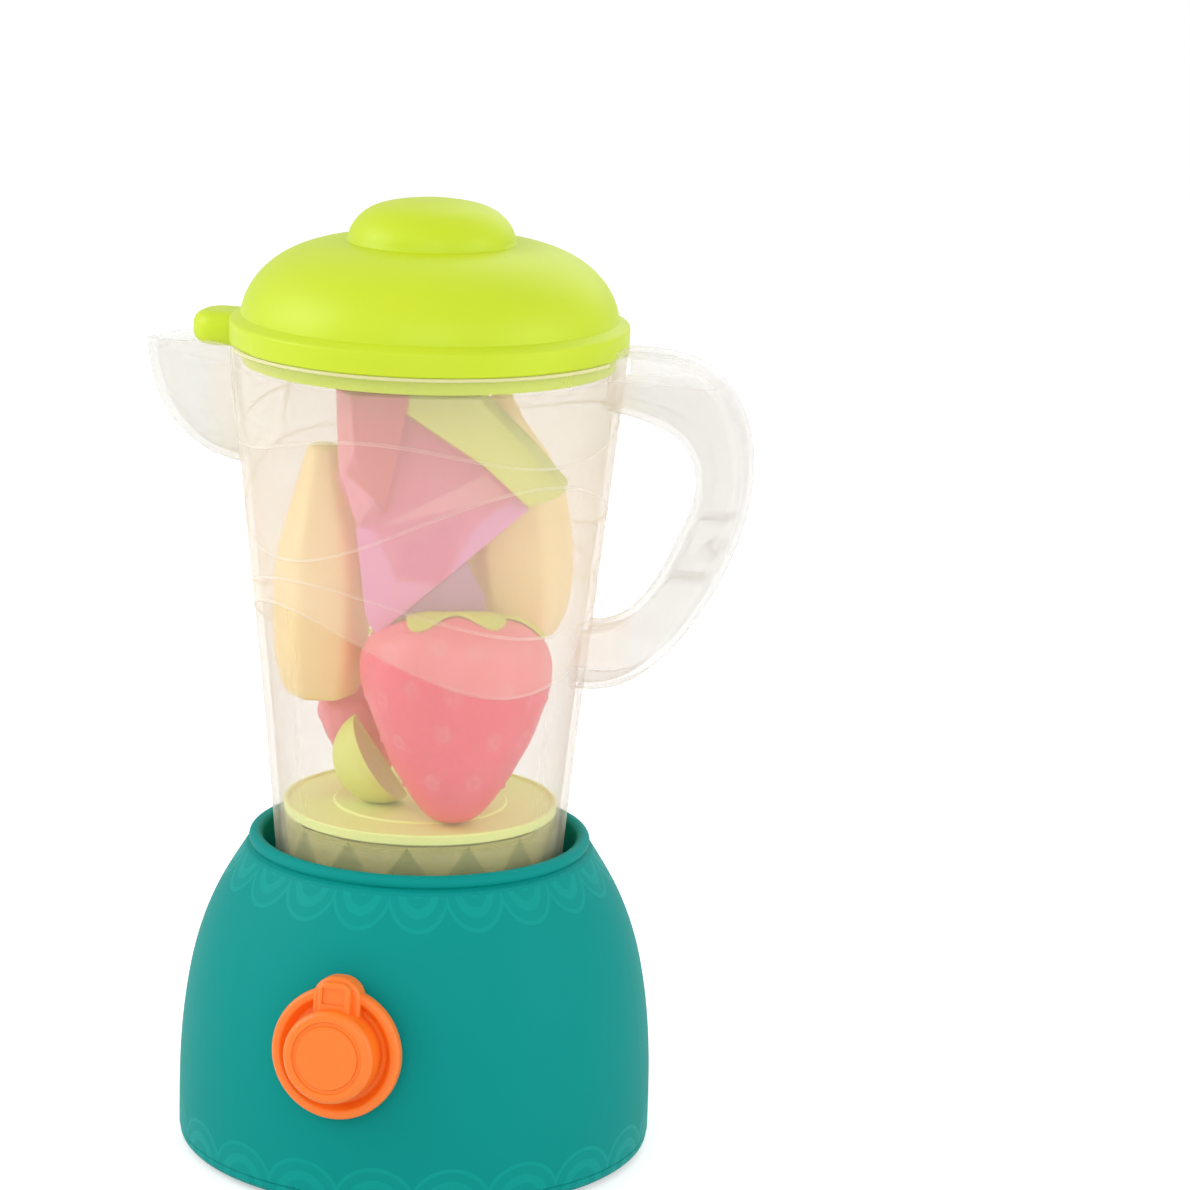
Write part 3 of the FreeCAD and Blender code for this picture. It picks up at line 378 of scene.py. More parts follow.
finishes = {slot: mouldedPlastic(look) for slot, look in plasticLooks.items()}
finishes["base_plastic"] = basePlastic()
finishes["jug_plastic"] = jugPlastic()
finishes["screw_steel"] = drawnSteel()
finishes["spring_steel"] = finishes["screw_steel"]
print("materials made")

slotOf = {entry["node"]: entry["material_slot"] for entry in frame["record"]["subparts"]}
for nodeName, solid in nodes.items():
    finish = finishes.get(slotOf[nodeName])
    if finish:
        for slotIndex in range(len(solid.material_slots)):
            solid.material_slots[slotIndex].material = finish
print("CAD nodes dressed")


def clearSelection():
    bpy.ops.object.select_all(action="DESELECT")


def makeActive(piece):
    clearSelection()
    piece.select_set(True)
    bpy.context.view_layer.objects.active = piece


def clearParts(kind="VERT"):
    # nothing of the active mesh stays selected, so that the next lines can pick parts of it
    bpy.ops.object.mode_set(mode="EDIT")
    bpy.ops.mesh.select_mode(type=kind)
    bpy.ops.mesh.select_all(action="DESELECT")
    bpy.ops.object.mode_set(mode="OBJECT")


def copySolid(node, name, mergeMm):
    # a copy of the solid's mesh with its loose triangles merged, left in edit mode, all selected
    piece = bpy.data.objects.new(name, nodes[node].data.copy())
    scene.collection.objects.link(piece)
    makeActive(piece)
    bpy.ops.object.mode_set(mode="EDIT")
    bpy.ops.mesh.select_all(action="SELECT")
    bpy.ops.mesh.customdata_custom_splitnormals_clear()
    bpy.ops.mesh.remove_doubles(threshold=mm(mergeMm))
    return piece


def traceLine(name, points):
    # a line of edges through the points, drawn by extruding one vertex
    clearSelection()
    bpy.ops.mesh.primitive_plane_add(size=mm(1), location=points[0])
    piece = bpy.context.object
    piece.name = name
    bpy.ops.object.transform_apply(location=True)
    bpy.ops.object.mode_set(mode="EDIT")
    bpy.ops.mesh.merge(type="CENTER")
    for before, after in zip(points, points[1:]):
        bpy.ops.mesh.extrude_region_move(TRANSFORM_OT_translate={"value": after - before})
    bpy.ops.mesh.select_all(action="SELECT")
    return piece


def turnedBody(name, profile, steps, mergeMm=0.02):
    # a body of revolution about Z through (radius, height) points in mm
    piece = traceLine(name, [place(radius, 0, height) for radius, height in profile])
    bpy.ops.mesh.spin(steps=steps, angle=math.tau, center=(0, 0, 0), axis=(0, 0, 1))
    bpy.ops.mesh.select_all(action="SELECT")
    bpy.ops.mesh.remove_doubles(threshold=mm(mergeMm))
    bpy.ops.mesh.normals_make_consistent(inside=False)
    bpy.ops.object.mode_set(mode="OBJECT")
    return piece


def applyModifier(piece, kind, **settings):
    makeActive(piece)
    modifier = piece.modifiers.new(kind.title(), kind)
    for key, value in settings.items():
        setattr(modifier, key, value)
    bpy.ops.object.modifier_apply(modifier=modifier.name)


def softenSurface(piece, sizeMm, depthMm):
    # slight hand-finished unevenness
    clouds = bpy.data.textures.new(piece.name + "Clouds", "CLOUDS")
    clouds.noise_scale = mm(sizeMm)
    clouds.noise_depth = 1
    applyModifier(piece, "DISPLACE", texture=clouds, strength=mm(depthMm), mid_level=0.5,
                  texture_coords="LOCAL")


def standFruit(piece, stand):
    # the same turned grid and tilts that the solids were laid out with
    turn = Matrix.Rotation(math.radians(pileTurn), 4, "Z")
    tilt = Matrix.Rotation(math.radians(stand.get("sideways", 0.0)), 4, "Y")
    back = Matrix.Rotation(math.radians(-stand.get("backward", 0.0)), 4, "X")
    piece.matrix_world = turn @ Matrix.Translation(place(*stand["foot"])) @ tilt @ back


def finishPiece(piece, body, material, replaced=(), angle=50.0):
    makeActive(piece)
    bpy.ops.object.transform_apply(location=True, rotation=True, scale=True)
    bpy.ops.object.shade_smooth_by_angle(angle=math.radians(angle))
    piece.data.materials.clear()
    piece.data.materials.append(material)
    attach(piece, body)
    if replaced:
        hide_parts(*replaced)
    print(piece.name, "made")


# soft vinyl of the toy fruit: a waxy sheen, and flat tones on its cut faces as patches, one of them a
# painted highlight
fruitLooks = {
    "strawberry_red": {"name": "redFruitVinyl", "colour": "#f7687f", "shade": "#f25e76", "roughness": 0.36,
                       "driftMm": 18.0, "grainMm": 1.2, "bump": 0.15, "subsurface": 0.2,
                       # the seed rings' paler colour is a painted highlight
                       "ringHighlightColour": "#fb8e9a"},
    "leaf_green": {"name": "leafVinyl", "colour": "#d8dd48", "shade": "#cad13f", "roughness": 0.5,
                   "driftMm": 8.0, "grainMm": 0.9, "bump": 0.2},
    "mango_orange": {"name": "orangeFruitVinyl", "colour": "#ffe1a2", "shade": "#ffd994", "roughness": 0.45,
                     "driftMm": 22.0, "grainMm": 1.2, "bump": 0.12, "subsurface": 0.2},
    "watermelon_red": {"name": "darkRedFruitVinyl", "colour": "#dd6276", "shade": "#d5586c",
                       "roughness": 0.45, "driftMm": 14.0, "grainMm": 1.0, "bump": 0.12,
                       "patches": [{"colour": "#ec7e92", "softMm": 0.4,
                                    "corners": [(-27.0, 230.0), (-21.9, 230.0), (-20.4, 213.0),
                                                (-25.5, 200.0)]},
                                   {"colour": "#ec82a0", "softMm": 0.4,
                                    "corners": [(-27.0, 213.0), (-20.4, 213.0), (-14.6, 199.5),
                                                (-10.8, 197.0), (-11.0, 192.0), (-19.3, 188.0)]}]},
    "melon_green": {"name": "melonVinyl", "colour": "#d6d95c", "shade": "#dde06c", "roughness": 0.45,
                    "driftMm": 14.0, "grainMm": 1.0, "bump": 0.12,
                    "patches": [{"colour": "#ccd452", "softMm": 2.5,
                                 "corners": [(8.0, 222.0), (15.0, 222.5), (39.0, 200.5), (42.0, 206.0),
                                             (29.0, 219.0), (15.0, 231.0), (8.0, 231.0)]}]},
    "dragonfruit_pink": {"name": "pinkFruitVinyl", "colour": "#ea78a3", "shade": "#e6709b",
                         "roughness": 0.45, "driftMm": 26.0, "grainMm": 1.0, "bump": 0.12,
                         # the first patch, a narrow pale band along a facet edge, is a painted highlight;
                         # the others are flat tones of the cut faces
                         "patches": [{"colour": "#f497ae", "softMm": 0.5,
                                      "corners": [(-12.8, 189.5), (23.6, 198.7), (16.7, 205.2)]},
                                     {"colour": "#ee8cbe", "softMm": 0.8,
                                      "corners": [(-22.0, 190.0), (-14.5, 188.0), (-8.7, 175.2),
                                                  (-8.5, 155.0), (-22.0, 155.0)]},
                                     {"colour": "#ee8cbe", "softMm": 0.8,
                                      "corners": [(-11.0, 176.5), (-1.3, 173.4), (4.5, 173.4),
                                                  (-1.0, 164.0), (-10.5, 158.0)]},
                                     {"colour": "#e88cc4", "softMm": 1.2,
                                      "corners": [(31.0, 198.0), (31.0, 192.0), (10.0, 174.0), (7.0, 176.0),
                                                  (14.0, 190.0), (24.0, 198.0)]},
                                     {"colour": "#e4649a", "softMm": 0.5,
                                      "corners": [(-7.7, 175.6), (4.9, 173.0), (11.0, 190.9), (9.6, 192.3),
                                                  (-7.9, 184.1)]}]},
    "plum_purple": {"name": "plumVinyl", "colour": "#bd82a4", "shade": "#b17698", "roughness": 0.45,
                    "driftMm": 12.0, "grainMm": 1.0, "bump": 0.12},
    "lime_green": {"name": "limeFruitVinyl", "colour": "#dfe172", "shade": "#d6d968", "roughness": 0.45,
                   "driftMm": 12.0, "grainMm": 1.0, "bump": 0.15},
    "raspberry_red": {"name": "raspberryVinyl", "colour": "#f0828e", "shade": "#e87684", "roughness": 0.45,
                      "driftMm": 10.0, "grainMm": 1.0, "bump": 0.15},
}
fruitFinish = {slot: mouldedPlastic(look) for slot, look in fruitLooks.items()}


def finishFruit(piece, slot, node, angle):
    finishPiece(piece, "turntable", fruitFinish[slot], [node], angle)


strawberry = {
    "profile": [(0, 0.2), (5.6, 1.0), (10.4, 5.0), (15.8, 13.0), (21.4, 23.6), (26.2, 35.0), (28.2, 44.0),
                (27.4, 51.2), (23.2, 56.4), (15.8, 59.0), (7.0, 59.2), (0, 58.0)],
    "stand": {"foot": (9.7, -28.0, 104.1), "backward": 19.0},
    "seedGap": 14.0, "rowGap": 12.18, "seedFirst": 11.0, "seedLast": 53.0,
    "astray": 0.12, "astrayUp": 1.2,  # how far seeds stray from even rows: share of a gap, and mm
    "seedRing": 1.6, "ringWide": 0.75, "seedDeep": 0.6, "dotWide": 0.8, "seedDot": 0.7, "reach": 4.0,
    "ringHighlightShare": 0.7,
}


def strawberryForm(name):
    body = turnedBody(name, strawberry["profile"], 40)
    applyModifier(body, "SUBSURF", levels=3, render_levels=3)
    softenSurface(body, sizeMm=17.0, depthMm=1.4)
    return body


def seedSpots(body):
    # rows of seeds, each row turned by half a gap, found on the skin by casting inwards; the
    # sines take uneven steps, so that the seeds stray in no order that the eye finds
    spots = []
    outside = mm(60)
    rows = int((strawberry["seedLast"] - strawberry["seedFirst"]) / strawberry["rowGap"]) + 1
    for row in range(rows):
        height = mm(strawberry["seedFirst"] + row * strawberry["rowGap"])
        hit, edge, normal, face = body.ray_cast(Vector((outside, 0, height)), Vector((-1, 0, 0)))
        count = max(3, round(math.tau * edge.x / mm(strawberry["seedGap"])))
        for seed in range(count):
            astray = strawberry["astray"] * math.sin(5.0 * row + 2.3 * seed)
            angle = math.tau * (seed + 0.5 * (row % 2) + astray) / count
            outward = Vector((math.cos(angle), math.sin(angle), 0))
            astrayUp = mm(strawberry["astrayUp"]) * math.sin(3.1 * seed + row)
            hit, spot, normal, face = body.ray_cast(outward * outside + Vector((0, 0, height + astrayUp)),
                                                    -outward)
            if hit:
                spots.append((spot.copy(), normal.copy()))
    return spots


def pressSeed(body, shade, spot, normal):
    # a shallow moulded ring with a small raised middle, and the ring's share kept for its painted highlight
    # colour
    ringRadius, reach = mm(strawberry["seedRing"]), mm(strawberry["reach"])
    for vertex in body.data.vertices:
        distance = (vertex.co - spot).length
        if distance < reach:
            ring = math.exp(-((distance - ringRadius) / mm(strawberry["ringWide"])) ** 2)
            dot = math.exp(-(distance / mm(strawberry["dotWide"])) ** 2)
            vertex.co += normal * mm(strawberry["seedDot"] * dot - strawberry["seedDeep"] * ring)
            share = shade.data[vertex.index]
            share.value = max(share.value, strawberry["ringHighlightShare"] * ring)


def strawberryBody():
    body = strawberryForm("strawberryBody")
    # share of the painted highlight on each point of the seed rings
    shade = body.data.attributes.new("ringHighlight", "FLOAT", "POINT")
    for spot, normal in seedSpots(body):
        pressSeed(body, shade, spot, normal)
    standFruit(body, strawberry["stand"])
    finishFruit(body, "strawberry_red", "strawberry", angle=80.0)


strawberryBody()

calyx = {"lobes": 7, "lobeSteps": 10, "lobePower": 0.6, "tip": 25.6, "waist": 17.0, "turn": -66.0,
         "cuts": 7, "thick": 1.1, "lift": 0.3, "above": 75.0, "stalkRadius": 2.0, "stalkLong": 5.5,
         "stalkMiddle": 61.2, "stalkRound": 0.7}


def strawberryCalyx():
    # a star of leaves dropped onto the shoulder of the fruit
    core = strawberryForm("calyxForm")
    clearSelection()
    bpy.ops.mesh.primitive_circle_add(vertices=calyx["lobes"] * calyx["lobeSteps"], radius=mm(calyx["tip"]),
                                      fill_type="TRIFAN", location=place(0, 0, calyx["above"]))
    leaf = bpy.context.object
    leaf.name = "strawberryCalyx"
    bpy.ops.object.transform_apply(location=True)
    for vertex in leaf.data.vertices:
        radius = math.hypot(vertex.co.x, vertex.co.y)
        if radius > mm(1):
            angle = math.atan2(vertex.co.y, vertex.co.x) - math.radians(calyx["turn"])
            lobe = 0.5 + 0.5 * math.cos(calyx["lobes"] * angle)
            reach = mm(calyx["waist"] + (calyx["tip"] - calyx["waist"]) * lobe ** calyx["lobePower"])
            vertex.co.x *= reach / radius
            vertex.co.y *= reach / radius
    bpy.ops.object.mode_set(mode="EDIT")
    bpy.ops.mesh.select_all(action="SELECT")
    bpy.ops.mesh.subdivide(number_cuts=calyx["cuts"])
    bpy.ops.object.mode_set(mode="OBJECT")
    applyModifier(leaf, "SHRINKWRAP", target=core, wrap_method="PROJECT", use_project_z=True,
                  use_negative_direction=True, use_positive_direction=False, offset=mm(calyx["lift"]))
    softenSurface(leaf, sizeMm=7.0, depthMm=0.8)
    applyModifier(leaf, "SOLIDIFY", thickness=mm(calyx["thick"]), offset=1.0)
    clearSelection()
    bpy.ops.mesh.primitive_cylinder_add(vertices=20, radius=mm(calyx["stalkRadius"]),
                                        depth=mm(calyx["stalkLong"]),
                                        location=place(0, 0, calyx["stalkMiddle"]))
    stalk = bpy.context.object
    applyModifier(stalk, "BEVEL", width=mm(calyx["stalkRound"]), segments=3, limit_method="ANGLE")
    makeActive(leaf)
    stalk.select_set(True)
    bpy.ops.object.join()
    bpy.data.objects.remove(core)
    standFruit(leaf, strawberry["stand"])
    finishFruit(leaf, "leaf_green", "strawberry_leaves", angle=60.0)


strawberryCalyx()

mangoes = {
    "mangoLeft": {"node": "mango_left", "sides": 6, "round": 2.2,
                  "profile": [(0, 0), (10.4, 0), (12.6, 5.0), (14.4, 13.0), (14.8, 22.0), (14.8, 36.0),
                              (13.4, 46.0), (10.0, 58.0), (5.3, 75.0), (0, 75.0)],
                  "stand": {"foot": (-29.8, 5.2, 133.2)}},
    "mangoRight": {"node": "mango_right", "sides": 6, "round": 2.2,
                   "profile": [(0, 0), (9.8, 0), (14.2, 6.0), (17.2, 17.0), (18.0, 29.0), (16.8, 44.0),
                               (12.6, 55.0), (6.4, 65.0), (3.2, 74.0), (0, 74.0)],
                   "stand": {"foot": (28.8, 14.4, 149.6), "sideways": -6.0}},
}


def mangoPiece(name, mango):
    # cut mango with soft flat cheeks
    body = turnedBody(name, mango["profile"], mango["sides"])
    applyModifier(body, "BEVEL", width=mm(mango["round"]), segments=4, limit_method="ANGLE",
                  angle_limit=math.radians(12))
    softenSurface(body, sizeMm=25.0, depthMm=0.7)
    standFruit(body, mango["stand"])
    finishFruit(body, "mango_orange", mango["node"], angle=35.0)


for name, mango in mangoes.items():
    mangoPiece(name, mango)

# a stretch moves the corners on its side of the grid and between its heights, by so much across
# and up, in mm
cutFruit = {
    "watermelonWedge": {"node": "watermelon_wedge", "slot": "watermelon_red", "round": 1.1},
    "melonWedge": {"node": "melon_wedge", "slot": "melon_green", "round": 1.1,
                   "stretches": [{"leftOf": -3.0, "between": (190.0, 240.0), "by": -1.3, "up": 0.0},
                                 {"leftOf": 20.0, "between": (225.0, 227.0), "by": 0.0, "up": 3.0}]},
    "dragonfruitChunk": {"node": "dragonfruit_chunk", "slot": "dragonfruit_pink", "round": 2.0,
                         "stretches": [{"leftOf": -8.0, "between": (140.0, 167.5), "by": 3.6,
                                        "up": -1.6}]},
    "plumWedge": {"node": "plum_wedge", "slot": "plum_purple", "round": 0.7,
                  "stretches": [{"leftOf": 0.5, "between": (140.0, 172.0), "by": -4.0, "up": -1.5}]},
}


def softenedCopy(name, cut):
    # the solid's own faces, cleaned of their triangles, with moulded round edges
    piece = copySolid(cut["node"], name, mergeMm=0.02)
    bpy.ops.mesh.dissolve_limited(angle_limit=math.radians(4))
    bpy.ops.mesh.normals_make_consistent(inside=False)
    bpy.ops.object.mode_set(mode="OBJECT")
    across = Vector((math.cos(math.radians(pileTurn)), math.sin(math.radians(pileTurn)), 0))
    for stretch in cut.get("stretches", ()):
        clearParts()
        low, high = stretch["between"]
        for vertex in piece.data.vertices:
            vertex.select = (vertex.co.dot(across) < mm(stretch["leftOf"])
                             and mm(low) < vertex.co.z < mm(high))
        bpy.ops.object.mode_set(mode="EDIT")
        bpy.ops.transform.translate(value=across * mm(stretch["by"]) + place(0, 0, stretch["up"]))
        bpy.ops.object.mode_set(mode="OBJECT")
    applyModifier(piece, "BEVEL", width=mm(cut["round"]), segments=4, limit_method="ANGLE",
                  angle_limit=math.radians(15))
    finishFruit(piece, cut["slot"], cut["node"], angle=40.0)


for name, cut in cutFruit.items():
    softenedCopy(name, cut)

lime = {"radius": 14.4, "slice": 75.0, "face": 182.0, "rind": 1.8, "press": 0.6, "round": 0.6,
        "stand": {"foot": (-11.6, -3.0, 117.7), "sideways": -33.0}}


def limeWedge():
    # a ball cut by two planes through its axis; each cut face is inset for the rind and pressed in
    clearSelection()
    bpy.ops.mesh.primitive_uv_sphere_add(segments=64, ring_count=32, radius=mm(lime["radius"]))
    wedge = bpy.context.object
    wedge.name = "limeWedge"
    first = math.radians(lime["face"] - 90.0)
    second = math.radians(lime["face"] + lime["slice"] + 90.0)
    cuts = [Vector((math.cos(angle), math.sin(angle), 0)) for angle in (first, second)]
    bpy.ops.object.mode_set(mode="EDIT")
    for outward in cuts:
        bpy.ops.mesh.select_all(action="SELECT")
        bpy.ops.mesh.bisect(plane_co=(0, 0, 0), plane_no=outward, use_fill=True, clear_outer=True)
    bpy.ops.mesh.select_all(action="SELECT")
    bpy.ops.mesh.normals_make_consistent(inside=False)
    for outward in cuts:
        clearParts("FACE")
        for face in wedge.data.polygons:
            # only the cut has so many corners and looks straight out
            face.select = face.normal.dot(outward) > 0.999 and len(face.vertices) > 8
        bpy.ops.object.mode_set(mode="EDIT")
        bpy.ops.mesh.inset(thickness=mm(lime["rind"]), depth=mm(-lime["press"]))
    bpy.ops.mesh.select_mode(type="VERT")
    bpy.ops.object.mode_set(mode="OBJECT")
    applyModifier(wedge, "BEVEL", width=mm(lime["round"]), segments=3, limit_method="ANGLE",
                  angle_limit=math.radians(40))
    standFruit(wedge, lime["stand"])
    finishFruit(wedge, "lime_green", "lime_wedge", angle=35.0)


limeWedge()

raspberry = {"profile": [(0, 0.1), (3.4, 0.5), (7.4, 4.6), (10.4, 12.0), (13.2, 19.0), (14.0, 24.0),
                         (12.4, 27.8), (7.0, 29.4), (0, 29.6)],
             "stand": {"foot": (-13.3, 19.4, 104.1), "sideways": -12.0}, "drupelet": 6.0, "deep": 1.6}


def raspberryPiece():
    body = turnedBody("raspberryBody", raspberry["profile"], 32)
    applyModifier(body, "SUBSURF", levels=2, render_levels=2)
    bumps = bpy.data.textures.new("drupelets", "VORONOI")
    bumps.noise_scale = mm(raspberry["drupelet"])
    applyModifier(body, "DISPLACE", texture=bumps, strength=mm(-raspberry["deep"]), mid_level=0.3,
                  texture_coords="LOCAL")
    standFruit(body, raspberry["stand"])
    finishFruit(body, "raspberry_red", "raspberry", angle=60.0)


raspberryPiece()

bead = {"startRadius": 50.0, "halfWidth": 0.5, "proud": 0.38, "sink": 0.1, "segments": 240}
jugWall = nodes["jug_body"]
outsideJug = 120.0  # mm from the axis, clear of the spout and the handle
waveFinish = trimPlastic(trimLooks["wave"])


def wallRadius(height):
    # outside radius of the jug at a height, read at its front
    hit, spot, normal, face = jugWall.ray_cast(Vector((0, -mm(outsideJug), height)), Vector((0, 1, 0)))
    return -spot.y


def waveBead(waveName):
    # a plain ring, its points then lifted onto the wave and laid against the wall
    clearSelection()
    startRadius = mm(bead["startRadius"])
    bpy.ops.mesh.primitive_torus_add(major_segments=bead["segments"], minor_segments=10,
                                     major_radius=startRadius, minor_radius=mm(bead["halfWidth"]))
    ridge = bpy.context.object
    ridge.name = "jugWave" + waveName[0].upper() + waveName[1:]
    flatten = bead["proud"] / bead["halfWidth"]
    for vertex in ridge.data.vertices:
        angle = math.atan2(vertex.co.y, vertex.co.x)
        outwards = (math.hypot(vertex.co.x, vertex.co.y) - startRadius) * flatten
        height = waveHeight(waveName, angle)
        radius = wallRadius(height) + outwards - mm(bead["sink"])
        vertex.co = (radius * math.cos(angle), radius * math.sin(angle), height + vertex.co.z)
    finishPiece(ridge, "jug", waveFinish, angle=80.0)


for waveName in waves:
    waveBead(waveName)

lip = {"radius": 57.0, "height": 238.4, "half": 0.5, "reach": 0.8, "segments": 180}


def jugLip():
    # small rolled edge under the lid, left out where the spout and the handle stand on the wall
    clearSelection()
    bpy.ops.mesh.primitive_torus_add(major_segments=lip["segments"], minor_segments=10,
                                     major_radius=mm(lip["radius"]), minor_radius=mm(lip["half"]),
                                     location=place(0, 0, lip["height"]))
    ring = bpy.context.object
    ring.name = "jugLip"
    bpy.ops.object.transform_apply(location=True)
    clearParts()
    for vertex in ring.data.vertices:
        outward = Vector((vertex.co.x, vertex.co.y, 0)).normalized()
        start = outward * mm(outsideJug) + place(0, 0, lip["height"])
        hit, spot, normal, face = jugWall.ray_cast(start, -outward)
        vertex.select = not hit or abs(spot.dot(outward) - mm(lip["radius"])) > mm(lip["reach"])
    bpy.ops.object.mode_set(mode="EDIT")
    bpy.ops.mesh.delete(type="VERT")
    bpy.ops.mesh.select_all(action="SELECT")
    bpy.ops.mesh.fill_holes(sides=12)
    bpy.ops.mesh.normals_make_consistent(inside=False)
    bpy.ops.object.mode_set(mode="OBJECT")
    finishPiece(ring, "jug", trimPlastic(trimLooks["lip"]), angle=60.0)


jugLip()

facets = {"sides": 14, "radius": 39.9, "low": 87.0, "high": 100.3, "thick": 0.4}


def jugFacets():
    # ring of cut-glass triangles inside the jug's foot: a tube with its top turned by half a side
    clearSelection()
    middle = (facets["low"] + facets["high"]) / 2
    bpy.ops.mesh.primitive_cylinder_add(vertices=facets["sides"], radius=mm(facets["radius"]),
                                        depth=mm(facets["high"] - facets["low"]), end_fill_type="NOTHING",
                                        location=place(0, 0, middle))
    ring = bpy.context.object
    ring.name = "jugFacets"
    bpy.ops.object.transform_apply(location=True)
    clearParts()
    for vertex in ring.data.vertices:
        vertex.select = vertex.co.z > mm(middle)
    bpy.ops.object.mode_set(mode="EDIT")
    bpy.ops.transform.rotate(value=math.pi / facets["sides"], orient_axis="Z", center_override=(0, 0, 0))
    bpy.ops.mesh.select_all(action="SELECT")
    bpy.ops.mesh.quads_convert_to_tris(quad_method="SHORTEST_DIAGONAL")
    bpy.ops.mesh.normals_make_consistent(inside=False)
    bpy.ops.object.mode_set(mode="OBJECT")
    applyModifier(ring, "SOLIDIFY", thickness=mm(facets["thick"]), offset=-1.0)
    # painted light: 1 on the top ring's triangles, which take the pale colour, 0 on the darker ones
    turned = ring.data.attributes.new("turned", "FLOAT", "FACE")
    for face in ring.data.polygons:
        turned.data[face.index].value = 1.0 if face.center.z > mm(middle) else 0.0
    finishPiece(ring, "jug", trimPlastic(trimLooks["facets"]), angle=4.0)


jugFacets()

lidEar = {"cut": -57.4, "tip": -71.1, "root": -54.2, "halfWidth": 9.2, "low": 234.6, "high": 244.5,
          "plan": 7.5, "round": 3.9}  # plan: radius of the two outer corners, seen from above


def earBlock():
    # the ear: a block with a round end and full edges
    clearSelection()
    bpy.ops.mesh.primitive_cube_add(size=1.0)
    ear = bpy.context.object
    length, height = lidEar["root"] - lidEar["tip"], lidEar["high"] - lidEar["low"]
    bpy.ops.object.mode_set(mode="EDIT")
    bpy.ops.transform.resize(value=(mm(length), mm(2 * lidEar["halfWidth"]), mm(height)))
    bpy.ops.transform.translate(value=place(lidEar["tip"] + length / 2, 0, lidEar["low"] + height / 2))
    clearParts("EDGE")
    for edge in ear.data.edges:
        ends = [ear.data.vertices[index].co for index in edge.vertices]
        edge.select = abs(ends[0].z - ends[1].z) > mm(1) and ends[0].x < mm(lidEar["tip"] + 1)
    bpy.ops.object.mode_set(mode="EDIT")
    bpy.ops.mesh.bevel(offset=mm(lidEar["plan"]), segments=8, affect="EDGES")
    bpy.ops.mesh.select_mode(type="VERT")
    bpy.ops.object.mode_set(mode="OBJECT")
    applyModifier(ear, "BEVEL", width=mm(lidEar["round"]), segments=6, limit_method="ANGLE",
                  angle_limit=math.radians(40), use_clamp_overlap=False)
    return ear


def lidPiece():
    # the solid's own shell, with the ear cut off flush and the fuller one moulded on
    shell = copySolid("lid_shell", "lidShell", mergeMm=0.01)
    bpy.ops.mesh.bisect(plane_co=place(lidEar["cut"], 0, 0), plane_no=(-1, 0, 0), use_fill=True,
                        clear_outer=True)
    bpy.ops.mesh.select_all(action="SELECT")
    bpy.ops.mesh.normals_make_consistent(inside=False)
    bpy.ops.object.mode_set(mode="OBJECT")
    ear = earBlock()
    makeActive(shell)
    ear.select_set(True)
    bpy.ops.object.join()
    finishPiece(shell, "lid", finishes["lid_plastic"], ["lid_shell"], angle=40.0)


lidPiece()

spring = {"stroke": 14.0, "smooth": 40.0}


def springPiece():
    # the solid's own coil on a mesh of its own; the spring shortens by the stroke as the jug is pressed
    # down, but nothing here shortens it
    coil = copySolid("return_spring", "returnSpring", mergeMm=0.01)
    bpy.ops.object.mode_set(mode="OBJECT")
    finishPiece(coil, "base", finishes["spring_steel"], ["return_spring"],
                angle=spring["smooth"])
    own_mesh(coil)


springPiece()

stage = {"floor": 12.0, "floorColour": "#e9e9e9", "lift": 0.43, "worldStrength": 0.7}


def studioFloor():
    clearSelection()
    bpy.ops.mesh.primitive_plane_add(size=stage["floor"], location=(0, 0, 0))
    floor = bpy.context.object
    floor.name = "studioFloor"
    # matt paint, lifted to white where it is seen, that keeps the shadow of the object
    material = newMaterial("paleFloor")
    paint = addNode(material, "ShaderNodeBsdfDiffuse", {"Color": linearColour(stage["floorColour"])})
    paths = addNode(material, "ShaderNodeLightPath")
    seen = addNode(material, "ShaderNodeMath", {0: paths.outputs["Is Camera Ray"],
                                                1: paths.outputs["Is Glossy Ray"]}, operation="MAXIMUM")
    strength = addNode(material, "ShaderNodeMath", {0: seen, 1: stage["lift"]}, operation="MULTIPLY")
    glow = addNode(material, "ShaderNodeEmission", {"Color": (1, 1, 1, 1), "Strength": strength})
    both = addNode(material, "ShaderNodeAddShader", {0: paint, 1: glow})
    addNode(material, "ShaderNodeOutputMaterial", {"Surface": both})
    floor.data.materials.append(material)


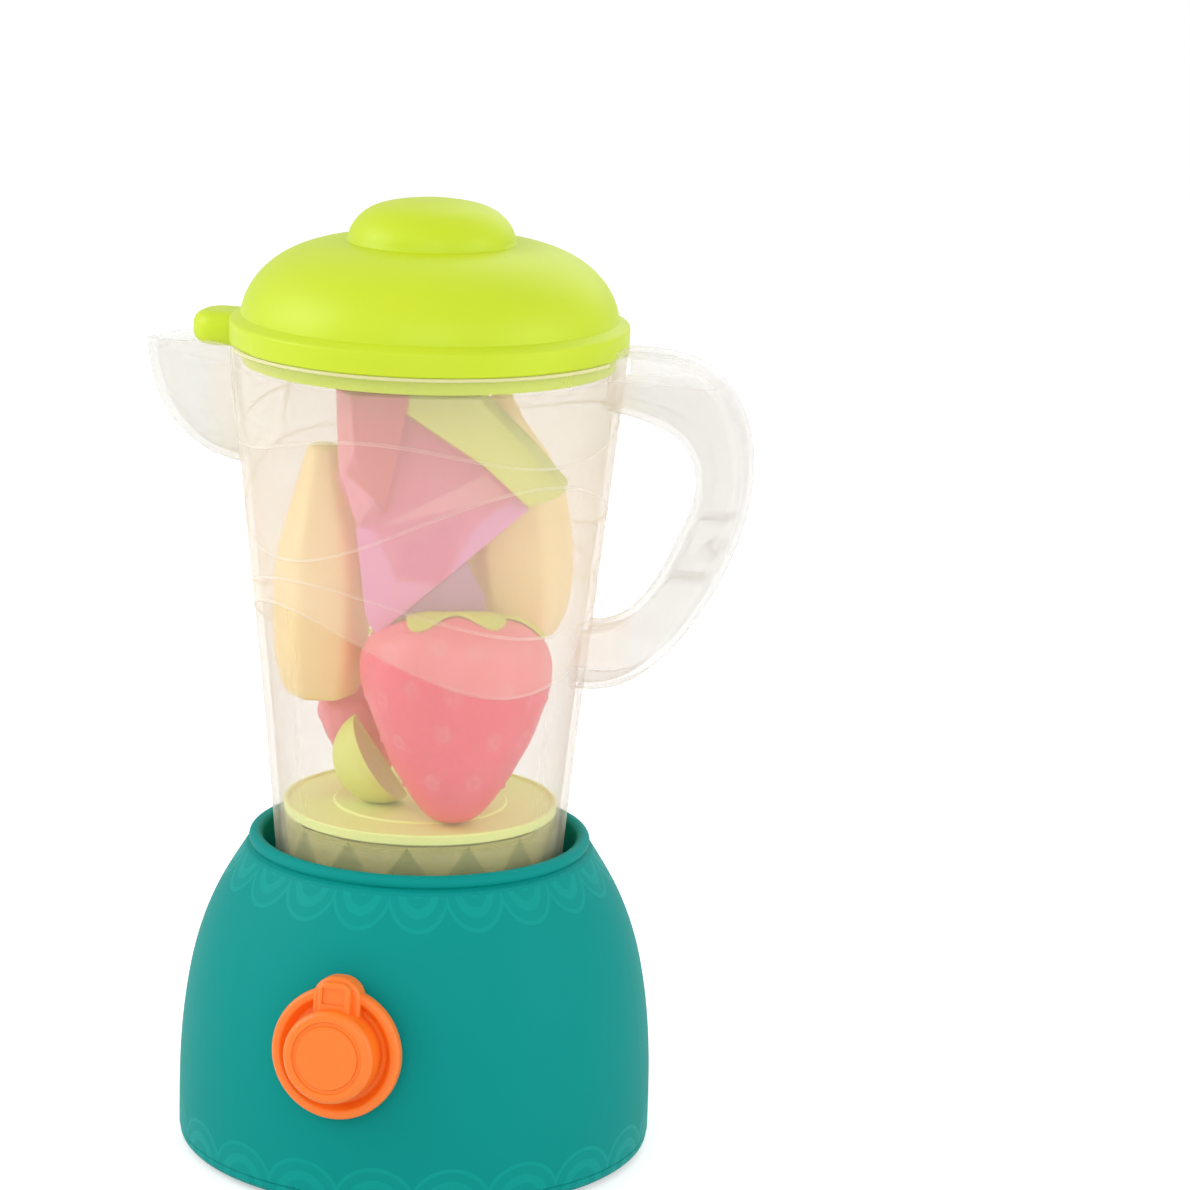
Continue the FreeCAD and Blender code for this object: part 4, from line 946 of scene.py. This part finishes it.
lamps = {
    "leftLamp": {"place": (-1.15, -0.45, 0.75), "size": 0.9, "power": 8.0},
    "rightLamp": {"place": (1.15, -0.15, 0.5), "size": 0.8, "power": 3.6},
    "frontLamp": {"place": (0.45, -1.5, 0.85), "size": 1.1, "power": 6.0},
    "rearLamp": {"place": (0.2, 1.1, 0.9), "size": 1.0, "power": 3.2},
}
aim = Vector((0, 0, 0.13))


def studioLight():
    for name, lamp in lamps.items():
        light = bpy.data.lights.new(name, "AREA")
        light.energy = lamp["power"]
        light.size = lamp["size"]
        holder = bpy.data.objects.new(name, light)
        holder.location = lamp["place"]
        holder.rotation_euler = (aim - Vector(lamp["place"])).to_track_quat("-Z", "Y").to_euler()
        scene.collection.objects.link(holder)
    world = bpy.data.worlds.new("studioWorld")
    world.use_nodes = True
    world.node_tree.nodes.clear()
    paths = addNode(world, "ShaderNodeLightPath")
    seen = addNode(world, "ShaderNodeMath", {0: paths.outputs["Is Camera Ray"],
                                             1: paths.outputs["Is Transmission Ray"]}, operation="MAXIMUM")
    strength = addNode(world, "ShaderNodeMapRange", {0: seen, 3: stage["worldStrength"], 4: 1.0})
    sky = addNode(world, "ShaderNodeBackground", {"Color": (1, 1, 1, 1), "Strength": strength})
    addNode(world, "ShaderNodeOutputWorld", {"Surface": sky})
    scene.world = world


camera = {"place": (0.3757, -1.1564, 0.4487), "lookAt": (0.0476, 0.0133, 0.1665), "roll": 1.71,
          "lens": 130.05}


def mainCamera():
    data = bpy.data.cameras.new("viewCamera")
    data.sensor_width = 36.0
    data.lens = camera["lens"]
    data.clip_start = 0.05
    holder = bpy.data.objects.new("viewCamera", data)
    aimAt = Vector(camera["lookAt"]) - Vector(camera["place"])
    turn = aimAt.to_track_quat("-Z", "Y").to_matrix().to_4x4()
    roll = Matrix.Rotation(math.radians(camera["roll"]), 4, "Z")
    holder.matrix_world = Matrix.Translation(Vector(camera["place"])) @ turn @ roll
    scene.collection.objects.link(holder)
    scene.camera = holder


studioFloor()
studioLight()
mainCamera()
scene.view_settings.view_transform = "Standard"
scene.cycles.transparent_max_bounces = 48
print("stage set")
